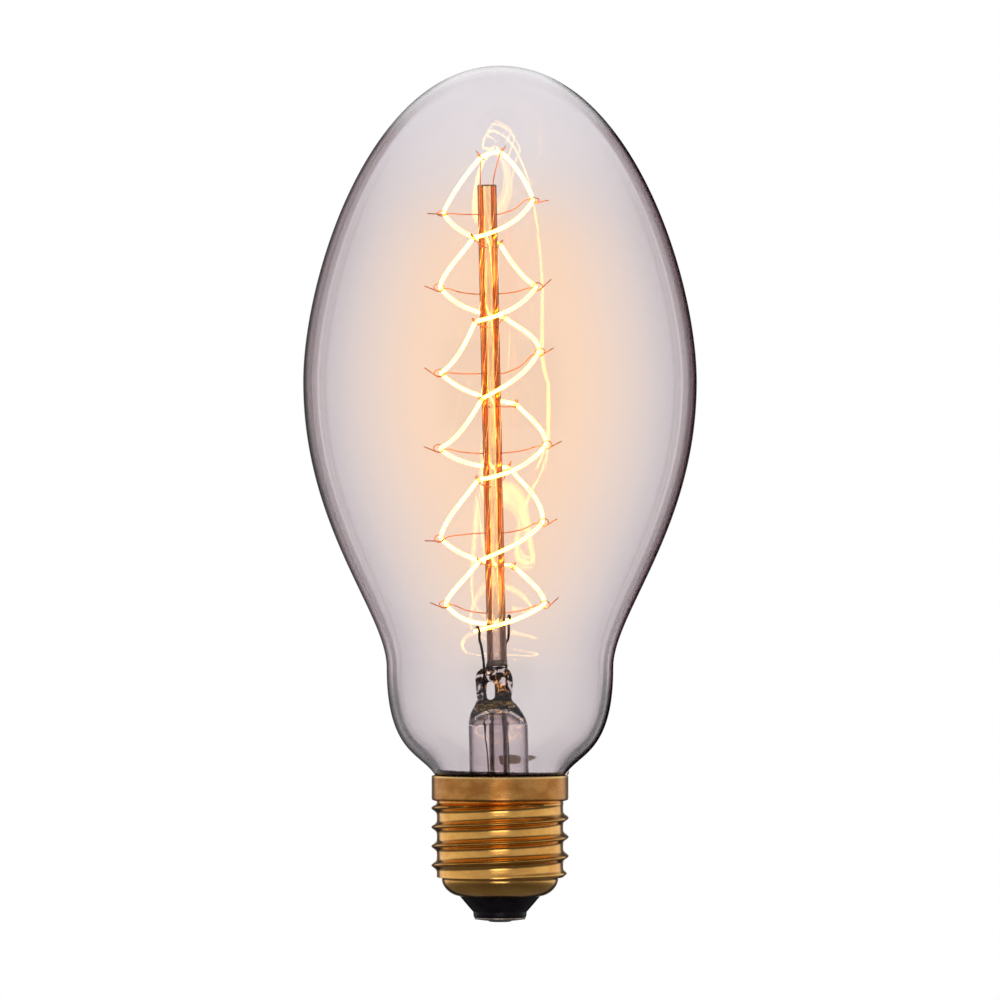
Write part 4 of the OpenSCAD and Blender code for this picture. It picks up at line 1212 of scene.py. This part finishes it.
def centre_contact():
    low = SOLDER_SEAT_Z
    edge = CONTACT_HEIGHT - CONTACT_SHEET
    outline = corners((EYELET_BORE_R, low), (2.0, low))
    bend(outline, (3.0, low), (CONTACT_R - 1.0, edge - 0.06), (CONTACT_R - 0.3, edge), 10)
    bend(outline, (CONTACT_R - 0.05, edge + 0.02), (CONTACT_R, edge + 0.05), (CONTACT_R, edge + 0.2), 5)
    outline += corners((CONTACT_R, CONTACT_HEIGHT), (EYELET_R, CONTACT_HEIGHT), (EYELET_R, EYELET_TOP_Z),
                       (EYELET_BORE_R, EYELET_TOP_Z))
    return lathe("contact_plate", outline, 128)


def centre_solder():
    low = SOLDER_SEAT_Z
    plug_r = EYELET_BORE_R - 0.05
    outline = corners((0, 0), (1.2, 0))
    bend(outline, (1.9, 0.02), (SOLDER_R - 0.15, low - 0.16), (SOLDER_R, low), 12)
    outline += corners((plug_r, low), (plug_r, CONTACT_HEIGHT + 0.2), (0, CONTACT_HEIGHT + 0.2))
    return lathe("solder_button", outline, 96)


def side_solder():
    piece = copy_of("solder_bead", "side_solder", 180)
    soft = piece.modifiers.new("flow", "SUBSURF")
    soft.levels = soft.render_levels = 3
    return applied(piece)


settle(cap_shell(), "cap_shell")
settle(cap_insulator(), "cap_insulator", black_insulator)
settle(centre_contact(), "centre_contact", contact_metal)
settle(centre_solder(), "centre_solder", solder_grey)
settle(copy_of("poured_cement", "cap_cement", 30), "cap_cement", cement)
settle(side_solder(), "side_solder", solder_gold)


# Studio: pale floor, white surround, soft lamps and the camera

FLOOR_DEPTH = 0.05
SUBJECT = (0, 0, 0.08)
CAMERA_DISTANCE = 2.2
CAMERA_HEIGHT = 0.08035
VIEW_WIDTH = 0.1904


def pale_floor():
    """A floor that fades to the white of the surround."""
    work = bmesh.new()
    bmesh.ops.create_circle(work, cap_ends=True, segments=96, radius=0.6)
    mesh = bpy.data.meshes.new("studio_floor")
    work.to_mesh(mesh)
    work.free()
    for vertex in mesh.vertices:
        vertex.co.z = -FLOOR_DEPTH
    floor = placed("studio_floor", mesh)
    finish, tree, surface = new_finish("studio_floor")
    feed(tree, surface, Base_Color=(0.86, 0.86, 0.86, 1), Roughness=0.9, Specular_IOR_Level=0.1)
    apart = vector_calc(tree, "LENGTH", object_place(tree), output="Value")
    white = put(tree, "ShaderNodeEmission", Color=WHITE, Strength=1.0)
    mix_out(tree, span(tree, apart, 0.10, 0.42), surface, white)
    mesh.materials.append(finish)
    floor.visible_glossy = False


def studio_surround():
    """White behind the lamp and through its glass, with flags and soft boxes for what it mirrors.

    Polished glass mirrors a narrow white backdrop, a soft box overhead and dark flags at the sides
    and in front, which draw its edges. What it mirrors and then lets out to the front is dim, so
    that no veil lies over the filament. Satin metal mirrors white sides, a flag just beside the
    backdrop and a strip of light low in front.
    """
    world = bpy.data.worlds.new("studio_surround")
    bpy.context.scene.world = world
    world.use_nodes = True
    tree = world.node_tree
    tree.nodes.clear()
    way = put(tree, "ShaderNodeTexCoord").outputs["Generated"]
    x, y, z = put(tree, "ShaderNodeSeparateXYZ", Vector=way).outputs
    turned = sloped(tree, y, 0.5, 0.5)
    raised = sloped(tree, z, 0.5, 0.5)
    across = calc(tree, "ABSOLUTE", x)

    front = ((0.0, 0.02), (0.5, 0.05), (0.7, 0.25), (0.85, 0.5))
    flag_left = ramp(tree, turned, *front, (0.93, 0.5), (0.955, 0.32), (0.975, 0.14), (0.995, 0.03),
                     (1.0, 1.0))
    flag_right = ramp(tree, turned, *front, (0.91, 0.45), (0.935, 0.08), (0.96, 0.01), (0.995, 0.0),
                      (1.0, 1.0))
    flags = blend(tree, span(tree, x, -0.1, 0.1), flag_left, flag_right)
    steep = span(tree, calc(tree, "DIVIDE", across, z), 0.7, 0.3)
    overhead = times(tree, span(tree, z, 0.02, 0.12), steep, span(tree, y, 0.3, 0.7))
    polished = blend(tree, overhead, flags, (0.9, 0.9, 0.9, 1))

    around = ramp(tree, turned, (0.0, 0.50), (0.2, 0.66), (0.45, 0.76), (0.7, 0.9), (0.88, 1.0),
                  (0.92, 0.08), (0.98, 0.08), (1.0, 1.0))
    level = ramp(tree, raised, (0.0, 0.16), (0.2, 0.14), (0.34, 0.22), (0.44, 1.0), (0.62, 1.0),
                 (0.74, 0.5), (0.85, 0.12), (1.0, 0.12))
    strip = times(tree, span(tree, across, 0.34, 0.12), span(tree, y, -0.3, -0.6),
                  span(tree, z, -0.44, -0.30), span(tree, z, -0.03, -0.12), 2.4)
    satin = vector_calc(tree, "ADD", tint(tree, around, level), strip)

    path = put(tree, "ShaderNodeLightPath").outputs
    mirrored = blend(tree, path["Is Singular Ray"], satin, polished)
    soft = blend(tree, path["Is Glossy Ray"], (0.62, 0.62, 0.62, 1), mirrored)
    once_mirrored = calc(tree, "GREATER_THAN", path["Glossy Depth"], 0.5)
    let_out = times(tree, once_mirrored, path["Is Transmission Ray"], span(tree, y, -0.72, -0.9))
    backdrop = blend(tree, let_out, WHITE, (0.2, 0.2, 0.2, 1))
    straight = calc(tree, "MAXIMUM", path["Is Camera Ray"], path["Is Transmission Ray"])
    light = put(tree, "ShaderNodeBackground", Color=blend(tree, straight, soft, backdrop), Strength=1.0)
    put(tree, "ShaderNodeOutputWorld", Surface=light.outputs[0])


def soft_lamp(name, place, size, power):
    lamp = bpy.data.lights.new(name, "AREA")
    lamp.shape = "RECTANGLE"
    lamp.size = lamp.size_y = size
    lamp.energy = power
    holder = placed(name, lamp)
    holder.location = place
    holder.rotation_euler = (Vector(SUBJECT) - Vector(place)).to_track_quat("-Z", "Y").to_euler()
    holder.visible_camera = False
    holder.visible_transmission = False
    holder.visible_glossy = False


def front_camera():
    """Level camera, far off, with the photograph's 190.4 mm across the lamp's plane."""
    lens = bpy.data.cameras.new("front_camera")
    lens.sensor_width = 36.0
    lens.lens = 36.0 * CAMERA_DISTANCE / VIEW_WIDTH
    lens.clip_start = 0.1
    lens.clip_end = 20.0
    camera = placed("front_camera", lens)
    camera.location = (0.0, -CAMERA_DISTANCE, CAMERA_HEIGHT)
    camera.rotation_euler = (math.radians(90), 0, 0)
    bpy.context.scene.camera = camera


bpy.context.scene.view_settings.view_transform = "Standard"
pale_floor()
studio_surround()
soft_lamp("key_lamp", (-0.9, -1.0, 1.1), 0.7, 7.0)
soft_lamp("fill_lamp", (1.1, -0.7, 0.6), 0.8, 4.0)
front_camera()
